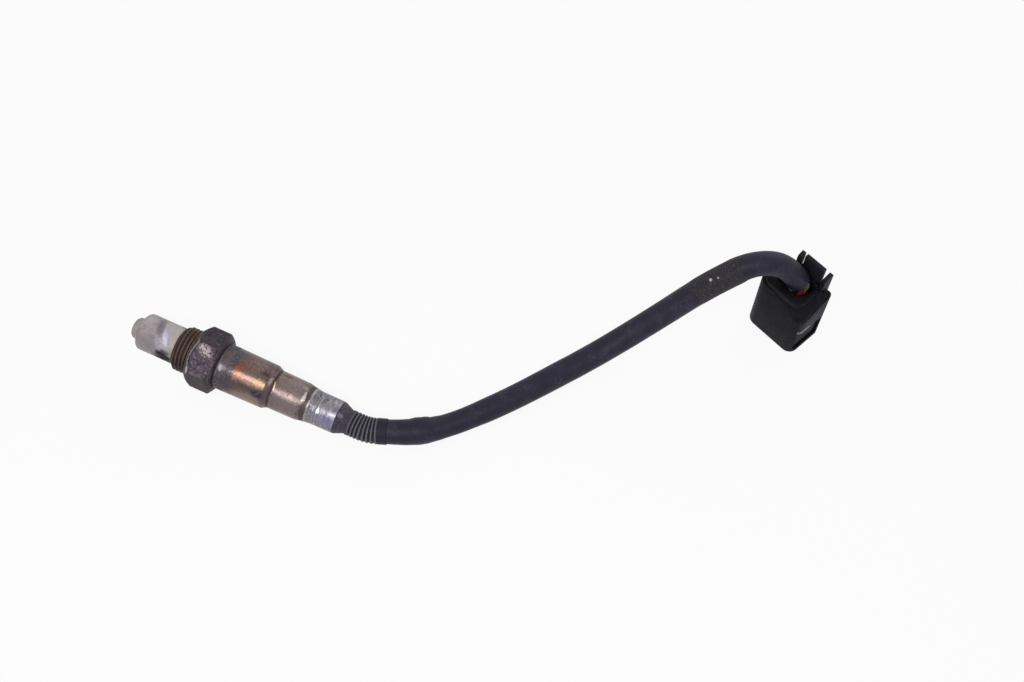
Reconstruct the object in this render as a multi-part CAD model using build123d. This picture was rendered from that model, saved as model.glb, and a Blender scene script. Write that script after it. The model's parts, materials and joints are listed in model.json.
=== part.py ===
from build123d import *
import math
import os

os.makedirs("parts", exist_ok=True)

# Five-wire planar exhaust oxygen sensor lying on a table, with its short cable and plug.
# All sizes in mm.  The sensor is drawn along a local +X axis from tip to cable, with its
# sealing seat at x = SEAT, then laid down on its hexagon corner and on the rear rim of its
# steel sleeve.

# ---------------------------------------------------------------- driving dimensions
SEAT = 0.85                 # flat sealing face in front of the hexagon
SEAT_INNER_R, SEAT_OUTER_R = 9.1, 9.6
THREAD_D = 17.94            # outside of the M18 x 1.5 thread
THREAD_LEN = 6.4            # from its front to the seat
THREAD_LEAD = 2.05          # turned lead-in at its front
NECK, NECK_DEPTH = 0.9, 0.7 # undercut between the thread and the seat
THREAD_FRONT = SEAT - THREAD_LEN
HEX_AF = 22.0               # across the flats
HEX_TURNED_D = 25.2         # corners turned back to this
HEX_LEN = 12.6              # station of the hexagon's rear face
HEX_FULL_FROM, HEX_FULL_TO = 3.6, 10.9
COLLAR_R = 9.0
COLLAR_END = 16.9
SPIGOT_R, SPIGOT_END = 8.2, 20.5
BODY_BORE_R = 5.2

TUBE_R, TUBE_WALL = 7.35, 0.5      # outer protection tube
TUBE_LEN = 21.7                    # from its closed end to its seat in the body
TUBE_SEAT = THREAD_FRONT + 2.0     # depth of the tube's seat in the body
TIP_X = TUBE_SEAT - TUBE_LEN
INNER_TUBE_R, INNER_TUBE_LEN = 5.0, 15.8
ELEMENT_W, ELEMENT_T = 4.2, 1.3    # ceramic sensing strip
ELEMENT_FRONT, ELEMENT_END = -17.2, 39.0
PACKING = (TUBE_SEAT + 0.6, 3.2, 9.5, 18.6, 22.5)   # fronts of the packed pieces, and the last end

SLEEVE_WALL = 0.7
SLEEVE_END = 61.5
SLEEVE_END_R = 6.5
CONE_END, CONE_END_R = 65.7, 4.75  # rubber grommet behind the sleeve

GROMMET_DEPTH = 8.5                # how far the grommet reaches into the sleeve
RIM = 0.4                          # its rim against the sleeve's end

WIRE_R = 0.95
WIRE_RING_R = 2.6                  # the five wires stand on this circle
CABLE_R = 4.7

PLUG_W, PLUG_D, PLUG_H = 23.9, 16.2, 28.5
PLUG_TOP = 31.6                    # top of the oblong collar
PLUG_X, PLUG_Y = 202.97, 108.74    # where the plug stands
PLUG_TURN = -25.3                  # degrees about the vertical

# ------------------------------------------------------------------- resting attitude
HEX_R = HEX_TURNED_D / 2
PITCH = math.atan((HEX_R - SLEEVE_END_R) / (SLEEVE_END - HEX_FULL_TO))
SEAT_Z = HEX_R * math.cos(PITCH) + HEX_FULL_TO * math.sin(PITCH)
LAID = Location((0, 0, SEAT_Z), (0, math.degrees(PITCH), 0))


def along(s):
    """Point on the sensor axis at station s, after laying down."""
    return Vector(s * math.cos(PITCH), 0, SEAT_Z - s * math.sin(PITCH))


nodes = []


def add(name, solid, colour, where=None):
    shape = solid if where is None else where * solid
    shape = Compound(children=[shape]) if isinstance(shape, ShapeList) else shape
    found = shape.solids()
    if len(found) != 1:
        print("WARNING", name, "has", len(found), "solids")
    one = found[0]
    one.label = name
    one.color = Color(*colour)
    nodes.append((name, one))


def turned(points):
    """Solid of revolution about X from (x, radius) points."""
    face = make_face(Polyline(*[(x, r) for x, r in points], close=True))
    return revolve(face, Axis.X, 360)


def rod(x0, x1, r):
    return Pos((x0 + x1) / 2, 0, 0) * Rot(0, 90, 0) * Cylinder(r, x1 - x0)


# ------------------------------------------------------------------ front of the sensor
def tube_outline(off):
    """Stepped protection tube: small domed end, steep shoulder, straight tube."""
    return [(TIP_X + off, 2.5 - off), (TIP_X + 0.45 + off, 3.35 - off), (TIP_X + 1.0 + off, 3.75 - off),
            (TIP_X + 3.05 + off * 0.8, 4.3 - off), (TIP_X + 4.75 + off * 0.7, 6.6 - off),
            (TIP_X + 5.55 + off * 0.5, TUBE_R - 0.2 - off), (TIP_X + 6.55, TUBE_R - off)]


def outer_protection_tube():
    tip_hole_r = 1.1
    outer, inner = tube_outline(0), tube_outline(TUBE_WALL)
    pts = [(TIP_X, tip_hole_r)] + outer + [(TUBE_SEAT, TUBE_R), (TUBE_SEAT, TUBE_R - TUBE_WALL)]
    pts += inner[::-1] + [(TIP_X + TUBE_WALL, tip_hole_r)]
    return turned(pts)


def inner_protection_tube():
    r, w, rear = INNER_TUBE_R, 0.4, TUBE_SEAT
    front = rear - INNER_TUBE_LEN
    seat_r = TUBE_R - TUBE_WALL
    tube = turned([(front, 0.8), (front, 2.6), (front + 0.8, 3.4), (front + 3.6, r), (rear - 0.6, r),
                   (rear - 0.6, seat_r), (rear, seat_r), (rear, r - w), (front + 3.7, r - w),
                   (front + 1.1, 3.4 - w), (front + w, 2.3), (front + w, 0.8)])
    for k in range(6):
        hole = Pos(rear - 3.8, 0, 0) * Rot(k * 60, 0, 0) * Pos(0, 0, r) * Cylinder(0.7, 3)
        tube -= hole
    return tube


def hex_housing():
    r, neck_r = THREAD_D / 2, THREAD_D / 2 - NECK_DEPTH
    half_hex = HEX_R + 2
    neck_end, relief = SEAT - NECK, SEAT + 0.3
    body = turned([(THREAD_FRONT, 3.9), (THREAD_FRONT, 7.75), (THREAD_FRONT + THREAD_LEAD, r),
                   (neck_end - 0.4, r), (neck_end, neck_r), (relief, neck_r), (relief, SEAT_INNER_R),
                   (SEAT, SEAT_INNER_R), (SEAT, SEAT_OUTER_R),
                   (HEX_FULL_FROM, HEX_R), (HEX_FULL_TO, HEX_R), (HEX_LEN, 9.6),
                   (HEX_LEN, COLLAR_R), (COLLAR_END, COLLAR_R), (COLLAR_END, SPIGOT_R),
                   (SPIGOT_END, SPIGOT_R), (SPIGOT_END, 3.9)])
    prism = Rot(0, 90, 0) * extrude(RegularPolygon(HEX_AF / 2, 6, major_radius=False), HEX_LEN)
    if prism.bounding_box().size.Z < prism.bounding_box().size.Y:
        prism = Rot(90, 0, 0) * prism
    ring = rod(0, HEX_LEN, half_hex) - prism
    body -= ring
    body -= rod(PACKING[0], SPIGOT_END, BODY_BORE_R)
    body -= rod(THREAD_FRONT, TUBE_SEAT, TUBE_R)
    return body


def sensing_element():
    """Long ceramic strip; the packed pieces have room for exactly this."""
    return Pos((ELEMENT_FRONT + ELEMENT_END) / 2, 0, 0) * Box(ELEMENT_END - ELEMENT_FRONT, ELEMENT_W, ELEMENT_T)


def packing_ring(x0, x1):
    return rod(x0, x1, BODY_BORE_R) - sensing_element()


def upper_support_ceramic():
    x0, x1, x2 = PACKING[2:]
    return turned([(x0, 0), (x0, BODY_BORE_R), (x1, BODY_BORE_R), (x1, 3.9), (x2, 3.9), (x2, 0)]) - sensing_element()


def retaining_ring():
    x1 = PACKING[3]
    return turned([(x1, 3.9), (x1, BODY_BORE_R), (SPIGOT_END, BODY_BORE_R), (SPIGOT_END, 3.9)])


# ------------------------------------------------------------------- middle of the sensor
SLEEVE_STEPS = [(COLLAR_END, 8.95), (28.0, 8.8), (32.4, 8.75), (33.3, 8.55), (34.9, 7.7), (35.6, 7.65),
                (46.6, 7.52), (47.6, 7.3), (49.0, 6.95), (52.3, SLEEVE_END_R), (SLEEVE_END, SLEEVE_END_R)]


def protection_sleeve():
    w = SLEEVE_WALL
    inner = [(x, SPIGOT_R if x < 28 else r - w) for x, r in SLEEVE_STEPS if x != 28.0]
    inner.insert(1, (SPIGOT_END + 0.5, SPIGOT_R))
    inner.insert(2, (SPIGOT_END + 1.0, 8.1))
    return turned(SLEEVE_STEPS + inner[::-1])


HOLDER_R, HOLDER_X0, HOLDER_X1 = 5.9, 27.0, 46.0
CHANNEL_H, CHANNEL_W = 1.75, 4.8


def contact_holder(upper):
    sign = 1 if upper else -1
    half = rod(HOLDER_X0, HOLDER_X1, HOLDER_R) & Pos(36.5, 0, sign * 5) * Box(40, 20, 10)
    half -= Pos(36.5, 0, 0) * Box(30, CHANNEL_W, 2 * CHANNEL_H)
    return half


def contact_spring(y, upper):
    """Bent strip lying on the channel wall and touching the ceramic strip with its knee."""
    t = ELEMENT_T / 2
    pts = [(30.0, CHANNEL_H - 0.3), (32.5, t), (34.5, t), (37.0, CHANNEL_H - 0.3), (47.0, CHANNEL_H - 0.3),
           (47.0, CHANNEL_H), (36.9, CHANNEL_H), (34.3, t + 0.3), (32.7, t + 0.3), (30.1, CHANNEL_H)]
    face = Plane.XZ * make_face(Polyline(*pts, close=True))
    strip = Pos(0, y + 0.35, 0) * extrude(face, 0.7)
    return strip if upper else Rot(180, 0, 0) * strip


def holder_clamp_ring():
    ring = turned([(35.0, HOLDER_R), (35.0, HOLDER_R + 0.4), (41.0, HOLDER_R + 0.4), (41.0, HOLDER_R)])
    return ring - Pos(38, 0, HOLDER_R) * Box(8, 1.2, 2)


def wire_spots():
    for k in range(5):
        a = math.radians(101 + 72 * k)
        yield WIRE_RING_R * math.cos(a), WIRE_RING_R * math.sin(a)


def grommet():
    front, inner_r, rim_r = SLEEVE_END - GROMMET_DEPTH, SLEEVE_END_R - SLEEVE_WALL, SLEEVE_END_R - 0.1
    body = turned([(front, 0), (front, inner_r), (SLEEVE_END, inner_r), (SLEEVE_END, rim_r), (SLEEVE_END + RIM, rim_r),
                   (CONE_END - 0.4, CONE_END_R + 0.1), (CONE_END, CONE_END_R), (CONE_END, 0)])
    for y, z in wire_spots():
        body -= Pos(0, y, z) * rod(front - 1, CONE_END + 1, WIRE_R)
    return body


# ------------------------------------------------------------------------ boot and wires
RIBS = 8
RIB_PITCH = 1.53
RIB_R, GROOVE_R = 5.0, 4.35
BOOT_TURN = math.radians(18.5)
BOOT_TAIL = 7.6                    # straight run behind the bend
CABLE_IN_BOOT = 2.0
BOOT_BEND_R = 20.0
BOOT_DIR = Vector(math.cos(BOOT_TURN), math.sin(BOOT_TURN), 0)
BOOT_CORNER = along((SEAT_Z - RIB_R) / math.sin(PITCH))
BOOT_END = BOOT_CORNER + BOOT_DIR * BOOT_TAIL
CABLE_START = BOOT_END - BOOT_DIR * CABLE_IN_BOOT


def boot_path(start):
    return FilletPolyline(start, BOOT_CORNER, BOOT_END, radius=BOOT_BEND_R)


def swept(path, r, inner=0.0):
    plane = Plane(path @ 0, z_dir=path % 0)
    ring = Circle(r) - Circle(inner) if inner else Circle(r)
    return sweep(plane * ring, path=path)


def rubber_boot():
    """Bent rubber bellows: thin tube with round-topped ribs and a plain rear collar."""
    path = boot_path(along(CONE_END))
    length = path.length
    body = swept(path, GROOVE_R)

    def lump(s_mid, profile):
        u = s_mid / length
        place = Location(Plane(path @ u, z_dir=path % u))
        face = Plane.XZ * make_face(Polyline(*profile, close=True))
        return place * revolve(face, Axis.Z, 360)

    foot = GROOVE_R + 0.13
    crest = [(0, -0.52), (foot, -0.52), (RIB_R, -0.3), (RIB_R, 0.3), (foot, 0.52), (0, 0.52)]
    for k in range(1, RIBS):
        body += lump(0.45 + k * RIB_PITCH, crest)
    first = [(0, 0.0), (CONE_END_R, 0.0), (RIB_R, 0.5), (RIB_R, 0.95), (foot, 1.15), (0, 1.15)]
    body += lump(0.0, first)
    tail = length - (0.45 + RIBS * RIB_PITCH) + 0.4
    end = [(0, -tail), (foot, -tail), (RIB_R - 0.12, -tail + 0.25), (RIB_R, -tail + 0.6),
           (RIB_R, -0.8), (CABLE_R + 0.1, 0), (0, 0)]
    body += lump(length, end)
    body -= swept(path, WIRE_RING_R + WIRE_R + 0.15)
    at_cable = Location(Plane(CABLE_START, z_dir=BOOT_DIR))
    body -= at_cable * Pos(0, 0, 2) * Cylinder(CABLE_R, 4)
    return body


def lead_wire(index):
    """Wire from its crimp behind the contact springs, through the grommet and the boot."""
    start = along(47.2)
    path = FilletPolyline(start, BOOT_CORNER, CABLE_START, radius=BOOT_BEND_R)
    y, z = list(wire_spots())[index]
    plane = Plane(origin=start, x_dir=(0, 1, 0), z_dir=path % 0)
    upwards = 1 if plane.y_dir.Z > 0 else -1
    return sweep(plane * Pos(y, z * upwards, 0) * Circle(WIRE_R), path=path)


# ------------------------------------------------------------------------------ the cable
ROUTE = [tuple(CABLE_START), tuple(CABLE_START + BOOT_DIR * 9.9),
         (99.1, 12.6, CABLE_R), (110.3, 24.6, CABLE_R),
         (121.65, 38.55, CABLE_R), (137.32, 59.95, CABLE_R), (147.65, 72.48, 8.34), (161.07, 84.68, 20.14),
         (170.89, 92.26, 31.06), (178.88, 97.62, 38.4), (184.9, 101.3, 43.66), (192.54, 105.29, 44.0),
         (199.2, 108.13, 39.39), (203.49, 109.27, 32.26)]


def route_radii(points):
    """Bend radius at each corner: 0.45 of the shorter run next to it, over tan(half turn)."""
    v = [Vector(*p) for p in points]
    radii = []
    for a, b, c in zip(v, v[1:], v[2:]):
        before, after = b - a, c - b
        half = math.radians(before.get_angle(after)) / 2
        radii.append(0.45 * min(before.length, after.length) / math.tan(half))
    return radii


def cable_sleeve():
    radii = route_radii(ROUTE)
    print("cable bend radii (mm):", [round(r, 1) for r in radii])
    path = FilletPolyline(*ROUTE, radius=radii)
    solid = swept(path, CABLE_R)
    section = math.pi * CABLE_R ** 2
    print("cable length %.1f mm, volume %.0f, section x length %.0f"
          % (path.length, solid.volume, section * path.length))
    return solid, path


# ------------------------------------------------------------------------------- the plug
# Plug frame: x across (towards the near right side), y towards the latch, z up from the
# mating face that it stands on.
PLUG = Location((PLUG_X, PLUG_Y, 0), (0, 0, PLUG_TURN))
LEFT, FRONT = -12.2, -7.8
RIGHT, BACK = LEFT + PLUG_W, FRONT + PLUG_D
WALL = 1.5
CAVITY_H, CAVITY_BACK = 10.0, 4.4
WINDOW_Y, WINDOW_Z = (-6.2, 6.6), (2.0, 13.5)  # opening for the secondary lock
WINDOW_DEPTH = 2.0
SLIDE_SET_BACK, SLIDE_PLAY = 0.9, 0.2
HOLE_X, HOLE_Y = (-7.4, 5.5), (-3.4, 5.4)      # cable opening in the collar
HOLE_R = 3.6
FUNNEL = 1.6                                   # depth of the flared mouth
SEAL_Z = (19.0, 23.5)
SHOULDER = (RIGHT, FRONT, 21.0)                # lowest corner of the sloping shoulder
SHOULDER_FALL = (0.47, -0.43)                  # how much it falls per mm of x and y
GUARD_T = 1.6
GUARD_X, GUARD_DEPTH = (-4.8, 8.6), (2.9, 4.9) # the two latch guards, their middles and depths
GUARD_BACK = 7.8
FOOT_T, FOOT_TOP = 1.8, 32.4                   # the feet that the guards stand on
LATCH_X = (-3.1, 6.0)
LATCH_GAP = 0.3
LATCH_TOP = 40.2


def block(x0, x1, y0, y1, z0, z1):
    return Pos((x0 + x1) / 2, (y0 + y1) / 2, (z0 + z1) / 2) * Box(x1 - x0, y1 - y0, z1 - z0)


def rounded(x0, x1, y0, y1, z0, z1, r):
    flat = Pos((x0 + x1) / 2, (y0 + y1) / 2, z0) * RectangleRounded(x1 - x0, y1 - y0, r)
    return extrude(flat, z1 - z0)


def plug_outline():
    """Plan of the plug: big corners in front, small ones on the latch side."""
    pts = [(LEFT, FRONT), (RIGHT, FRONT), (RIGHT, BACK), (LEFT, BACK)]
    face = make_face(Polyline(*pts, close=True))
    for (x, y), r in zip(pts, (4.6, 3.8, 1.2, 2.0)):
        corner = [v for v in face.vertices() if abs(v.X - x) < 0.01 and abs(v.Y - y) < 0.01]
        face = fillet(corner, r)
    return face


def across(points, x0, x1):
    """Solid between x0 and x1 with this outline of (y, z) points."""
    solid = extrude(Plane.YZ * make_face(Polyline(*points, close=True)), x1 - x0)
    return Pos(x0 - solid.bounding_box().min.X, 0, 0) * solid


def plug_housing():
    shell = extrude(plug_outline(), PLUG_H)
    # shoulder that falls from the left and from the latch side to the near right corner
    fall_x, fall_y = SHOULDER_FALL
    slope = Plane(origin=SHOULDER, x_dir=(1, 0, -fall_x), z_dir=(fall_x, fall_y, 1))
    above = slope * Pos(0, 0, 15) * Box(90, 90, 30)
    neck = rounded(-9.6, 7.3, -6.3, 7.0, 16.0, PLUG_H, 3.2)
    shell = shell - above + neck
    # two guards beside the latch, standing on feet with the latch's slot between them
    half = GUARD_T / 2
    foot_front, slot_sides = GUARD_BACK - FOOT_T, (LATCH_X[0] - LATCH_GAP, LATCH_X[1] + LATCH_GAP)
    for middle, depth in zip(GUARD_X, GUARD_DEPTH):
        inner = GUARD_BACK - depth
        side = [(foot_front, 24.0), (GUARD_BACK, 24.0), (GUARD_BACK, LATCH_TOP - 0.5),
                (GUARD_BACK - 0.6, LATCH_TOP), (inner + 0.5, LATCH_TOP - 0.9), (inner, LATCH_TOP - 1.5),
                (inner, 34.0), (foot_front, FOOT_TOP)]
        shell += across(side, middle - half, middle + half)
    shell += block(GUARD_X[0] - half, slot_sides[0], foot_front, GUARD_BACK, 24, FOOT_TOP)
    shell += block(slot_sides[1], GUARD_X[1] + half, foot_front, GUARD_BACK, 24, FOOT_TOP)
    shell -= block(*slot_sides, foot_front - 0.2, BACK + 1, 12.0, LATCH_TOP + 2)
    # spring tongue, rooted at the foot of the slot, with its press plate on top
    shell += block(LATCH_X[0], LATCH_X[1], GUARD_BACK - 1.5, GUARD_BACK - 0.2, 11.5, 34.0)
    head = [(GUARD_BACK - 1.7, 32.5), (GUARD_BACK - 0.2, 32.5), (GUARD_BACK, 34.0), (GUARD_BACK, LATCH_TOP - 0.3),
            (GUARD_BACK - 0.4, LATCH_TOP), (GUARD_BACK - 1.7, LATCH_TOP)]
    shell += across(head, *LATCH_X)
    # cable pocket from above, mating socket from below
    shell -= rounded(*HOLE_X, *HOLE_Y, SEAL_Z[0], PLUG_H + 0.1, HOLE_R)
    shell -= rounded(LEFT + WALL, RIGHT - WALL, FRONT + WALL, CAVITY_BACK, -1, CAVITY_H, 2.6)
    # window for the secondary lock in the right-hand wall
    shell -= block(RIGHT - WINDOW_DEPTH, RIGHT + 1, *WINDOW_Y, *WINDOW_Z)
    # room for the terminals
    for x, y in terminal_spots():
        shell -= block(x - 0.9, x + 0.9, y - 0.9, y + 0.9, CAVITY_H - 0.1, SEAL_Z[0] + 0.1)
    return shell


def terminal_spots():
    return [(3.0, -1.3), (3.0, 2.0), (-1.0, -1.3), (-1.0, 2.0), (-5.0, -1.3)]


def rear_cover():
    """Oblong collar with a thick rounded lip around the cable opening."""
    low = rounded(-10.5, 8.2, -7.5, 5.9, PLUG_H, PLUG_TOP - 0.8, 4.0)
    top = rounded(-10.5, 8.2, -7.5, 5.9, PLUG_TOP - 0.8, PLUG_TOP, 4.0)
    top = chamfer(top.edges().group_by(Axis.Z)[-1], 0.5)
    ring = low + top
    ring -= rounded(*HOLE_X, *HOLE_Y, PLUG_H - 1, PLUG_TOP + 1, HOLE_R)
    mouth = Pos(sum(HOLE_X) / 2, sum(HOLE_Y) / 2, PLUG_TOP - FUNNEL) * RectangleRounded(
        HOLE_X[1] - HOLE_X[0], HOLE_Y[1] - HOLE_Y[0], HOLE_R)
    return ring - extrude(mouth, FUNNEL + 0.2, taper=-40)


def wire_seal():
    seal = rounded(*HOLE_X, *HOLE_Y, *SEAL_Z, HOLE_R)
    for x, y in terminal_spots():
        seal -= Pos(x, y, 21) * Cylinder(WIRE_R, 8)
    return seal


def terminal(x, y):
    """Crimped socket terminal, round where the wire enters and square in its chamber."""
    body = block(x - 0.85, x + 0.85, y - 0.85, y + 0.85, 4.0, 18.0)
    body -= block(x - 0.5, x + 0.5, y - 0.35, y + 0.35, 3.0, 12.0)
    return body + Pos(x, y, 18.5) * Cylinder(0.7, 1.0)


def terminal_carrier():
    carrier = rounded(-7.2, 5.6, -3.4, 3.3, 1.2, CAVITY_H, 1.0)
    for x, y in terminal_spots():
        carrier -= block(x - 0.85, x + 0.85, y - 0.85, y + 0.85, 0, CAVITY_H + 1)
    return carrier


def mating_seal():
    outer = rounded(-8.2, 6.6, -4.4, 4.3, 6.5, CAVITY_H, 2.0)
    inner = rounded(-7.2, 5.6, -3.4, 3.3, 6.0, CAVITY_H + 1, 1.0)
    return outer - inner


def secondary_lock():
    """Slide that closes the window in the side wall, with its locking finger."""
    (y0, y1), (z0, z1) = WINDOW_Y, WINDOW_Z
    inside, outside = RIGHT - WINDOW_DEPTH + 0.1, RIGHT - SLIDE_SET_BACK
    slide = block(inside, outside, y0 + SLIDE_PLAY, y1 - SLIDE_PLAY, z0 + SLIDE_PLAY, z1 - SLIDE_PLAY)
    return slide + block(RIGHT - 4.5, inside, -3.0, 2.4, 4.0, 5.4)


def plug_wire(index, end_plane):
    """Wire end between the cut end of the cable and its hole in the seal."""
    x, y = terminal_spots()[SEAL_ORDER[index]]
    low = (PLUG * Pos(x, y, SEAL_Z[0])).position
    entry = (PLUG * Pos(x, y, SEAL_Z[1] + 2.9)).position
    a = math.radians(WIRE_FAN[index])
    up = -1 if end_plane.y_dir.Z < 0 else 1
    start = end_plane.from_local_coords(Vector(WIRE_RING_R * math.cos(a), up * WIRE_RING_R * math.sin(a), 0))
    points = [start, start + end_plane.z_dir * WIRE_RUN[index], entry, low]
    path = FilletPolyline(*points, radius=route_radii(points))
    return sweep(Plane(start, z_dir=end_plane.z_dir) * Circle(WIRE_R), path=path)


SEAL_ORDER = (0, 1, 2, 3, 4)                # red, yellow, white, grey, black
WIRE_FAN = (6, 78, 294, 150, 222)           # where each leaves the cut end of the cable
WIRE_RUN = (3.0, 3.0, 2.0, 2.0, 2.0)        # how far each goes straight on from there

# ---------------------------------------------------------------------------- the colours
GREY_WARM = (0.62, 0.59, 0.57)
STEEL = (0.42, 0.40, 0.42)
STRAW = (0.60, 0.48, 0.38)
CERAMIC = (0.90, 0.89, 0.85)
BLACK = (0.05, 0.05, 0.06)
RUBBER = (0.16, 0.16, 0.18)
NICKEL = (0.70, 0.70, 0.68)
WIRE_COLOURS = (("red", (0.60, 0.05, 0.05)), ("yellow", (0.75, 0.68, 0.10)), ("white", (0.85, 0.85, 0.82)),
                ("grey", (0.45, 0.46, 0.48)), ("black", (0.04, 0.04, 0.04)))

# ------------------------------------------------------------------------------- assembly
add("outer_protection_tube", outer_protection_tube(), GREY_WARM, LAID)
add("inner_protection_tube", inner_protection_tube(), NICKEL, LAID)
add("sensing_element", sensing_element(), CERAMIC, LAID)
add("hex_housing", hex_housing(), STEEL, LAID)
add("lower_support_ceramic", packing_ring(*PACKING[0:2]), CERAMIC, LAID)
add("talc_packing", packing_ring(*PACKING[1:3]), (0.80, 0.80, 0.76), LAID)
add("upper_support_ceramic", upper_support_ceramic(), CERAMIC, LAID)
add("retaining_ring", retaining_ring(), NICKEL, LAID)
add("protection_sleeve", protection_sleeve(), STRAW, LAID)
add("contact_holder_upper", contact_holder(True), CERAMIC, LAID)
add("contact_holder_lower", contact_holder(False), CERAMIC, LAID)
add("holder_clamp_ring", holder_clamp_ring(), NICKEL, LAID)
for number, (y, upper) in enumerate(((-1.4, True), (0.0, True), (1.4, True), (-1.0, False), (1.0, False)), 1):
    add("contact_spring_%d" % number, contact_spring(y, upper), NICKEL, LAID)
add("grommet", grommet(), RUBBER, LAID)
add("rubber_boot", rubber_boot(), RUBBER)
for index, (tint, colour) in enumerate(WIRE_COLOURS):
    add("lead_wire_" + tint, lead_wire(index), colour)

cable, cable_path = cable_sleeve()
add("cable_sleeve", cable, RUBBER)
travel = cable_path % 1
cable_end = Plane(cable_path @ 1, x_dir=(travel.Y, -travel.X, 0), z_dir=travel)
for index, (tint, colour) in enumerate(WIRE_COLOURS):
    add("plug_wire_" + tint, plug_wire(index, cable_end), colour)

add("plug_housing", plug_housing(), BLACK, PLUG)
add("rear_cover", rear_cover(), BLACK, PLUG)
add("wire_seal", wire_seal(), (0.30, 0.10, 0.08), PLUG)
add("terminal_carrier", terminal_carrier(), BLACK, PLUG)
add("mating_seal", mating_seal(), (0.30, 0.10, 0.08), PLUG)
add("secondary_lock", secondary_lock(), BLACK, PLUG)
for number, (x, y) in enumerate(terminal_spots(), 1):
    add("terminal_%d" % number, terminal(x, y), NICKEL, PLUG)

# Row origin: under the middle of the sensor itself, on the table.
ON_CABLE = ("cable_sleeve", "plug_", "rear_cover", "wire_seal", "terminal_", "mating_seal", "secondary_lock")
sensor_only = [s for n, s in nodes if not n.startswith(ON_CABLE)]
box = Compound(children=[s.moved(Location((0, 0, 0))) for s in sensor_only]).bounding_box()
shift = Vector(-(box.min.X + box.max.X) / 2, -(box.min.Y + box.max.Y) / 2, -box.min.Z)
print("shift to row origin:", [round(v, 4) for v in shift], "sensor box", box.size)
seat = along(SEAT) + shift
print("seat centre (m):", [round(v / 1000, 6) for v in seat], "axis to tip:",
      [round(-math.cos(PITCH), 6), 0, round(math.sin(PITCH), 6)], "pitch", round(math.degrees(PITCH), 3))
for name, solid in nodes:
    placed = solid.moved(Location(shift))
    placed.label = name
    placed.color = solid.color
    export_step(placed, "parts/%s.step" % name)
print(len(nodes), "nodes")
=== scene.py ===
import json
import math

import bmesh
import bpy
from mathutils import Matrix, Vector

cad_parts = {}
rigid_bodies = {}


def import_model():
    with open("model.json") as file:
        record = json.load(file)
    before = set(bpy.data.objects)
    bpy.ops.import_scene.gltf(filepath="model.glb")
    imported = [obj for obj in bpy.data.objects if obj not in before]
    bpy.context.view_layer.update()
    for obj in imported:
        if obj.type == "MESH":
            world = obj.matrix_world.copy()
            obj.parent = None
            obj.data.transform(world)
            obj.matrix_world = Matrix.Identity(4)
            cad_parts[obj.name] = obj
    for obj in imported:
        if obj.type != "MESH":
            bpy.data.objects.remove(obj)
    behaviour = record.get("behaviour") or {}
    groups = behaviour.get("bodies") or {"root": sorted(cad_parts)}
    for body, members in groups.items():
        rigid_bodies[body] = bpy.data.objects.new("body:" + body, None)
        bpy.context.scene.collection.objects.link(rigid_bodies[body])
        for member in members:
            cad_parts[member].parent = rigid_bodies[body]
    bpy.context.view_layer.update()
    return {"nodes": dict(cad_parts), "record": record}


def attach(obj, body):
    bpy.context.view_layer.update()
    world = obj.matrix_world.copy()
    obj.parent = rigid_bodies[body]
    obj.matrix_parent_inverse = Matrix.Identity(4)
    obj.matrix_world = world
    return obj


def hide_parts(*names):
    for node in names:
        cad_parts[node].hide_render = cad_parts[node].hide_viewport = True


# Used exhaust oxygen sensor with its cable and plug: the looks of every surface.
# Lengths named in mm are multiplied by MM where they meet the scene, which is in metres.

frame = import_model()
MM = 0.001
BODY = "root"

# ---- where the sensor and plug lie
mounts = {m["name"]: m for m in frame["record"]["mounts"]}
THREAD_MIDDLE = 2.825                      # mm from the seat to the middle of the thread mount
SEAT = 0.85                                # station of the seat, in mm along the sensor
to_tip = Vector(mounts["exhaust_thread"]["axis"]).normalized()
seat = Vector(mounts["exhaust_thread"]["pos_m"]) - to_tip * THREAD_MIDDLE * MM
PITCH = math.asin(to_tip.z)
SENSOR_SPOT = seat + to_tip * SEAT * MM
SENSOR = Matrix.Translation(SENSOR_SPOT) @ Matrix.Rotation(PITCH, 4, "Y") @ Matrix.Scale(MM, 4)

PLUG_TURN = math.radians(-25.3)
PLUG_SPOT = Vector((0.1747322, 0.10874, 0.0))
PLUG = Matrix.Translation(PLUG_SPOT) @ Matrix.Rotation(PLUG_TURN, 4, "Z") @ Matrix.Scale(MM, 4)

# ---- sizes in mm
THREAD_R, THREAD_PITCH, THREAD_DEPTH = 8.97, 1.5, 0.7
THREAD_FRONT, LEAD_IN, LEAD_IN_R = -5.55, 1.3, 7.8
TUBE_SEAT, TUBE_LENGTH, TUBE_R, TUBE_BORE_R = -3.55, 21.7, 7.35, 6.85
TIP = TUBE_SEAT - TUBE_LENGTH
TIP_HOLE_R = 1.1
HEX_AF, HEX_CORNER_R, HEX_LEN = 22.0, 12.6, 12.6
SEAT_RIM_R, HEX_FULL = 9.6, (3.6, 10.9)    # the cones at both ends of the hexagon
CONE_RISE = (HEX_CORNER_R - SEAT_RIM_R) / (HEX_FULL[0] - SEAT)
REAR_CONE_RISE = (HEX_CORNER_R - SEAT_RIM_R) / (HEX_LEN - HEX_FULL[1])
UNDERCUT_R, SEAT_RELIEF_R = 8.4, 9.1       # of the groove behind the thread, and of the seat inside
COLLAR_R, COLLAR_END = 9.0, 16.9
SPIGOT_R, SPIGOT_END = 8.2, 20.5
STRIP_BORE_R, PACKING_BORE_R = 3.9, 5.2
SLEEVE_END = 61.5
GROMMET_FRONT, GROMMET_R, FLANGE_R = 53.0, 5.8, 6.36
CONE_END, CONE_END_R = 65.7, 4.75
RIB_FIRST, RIB_PITCH, RIB_LAST, RIB_R, GROOVE_R = 2.78, 1.43, 11.36, 5.0, 4.68
BOOT_BEND_R = 20.0
CABLE_R, CABLE_IN_BOOT = 4.7, 2.0
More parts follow.
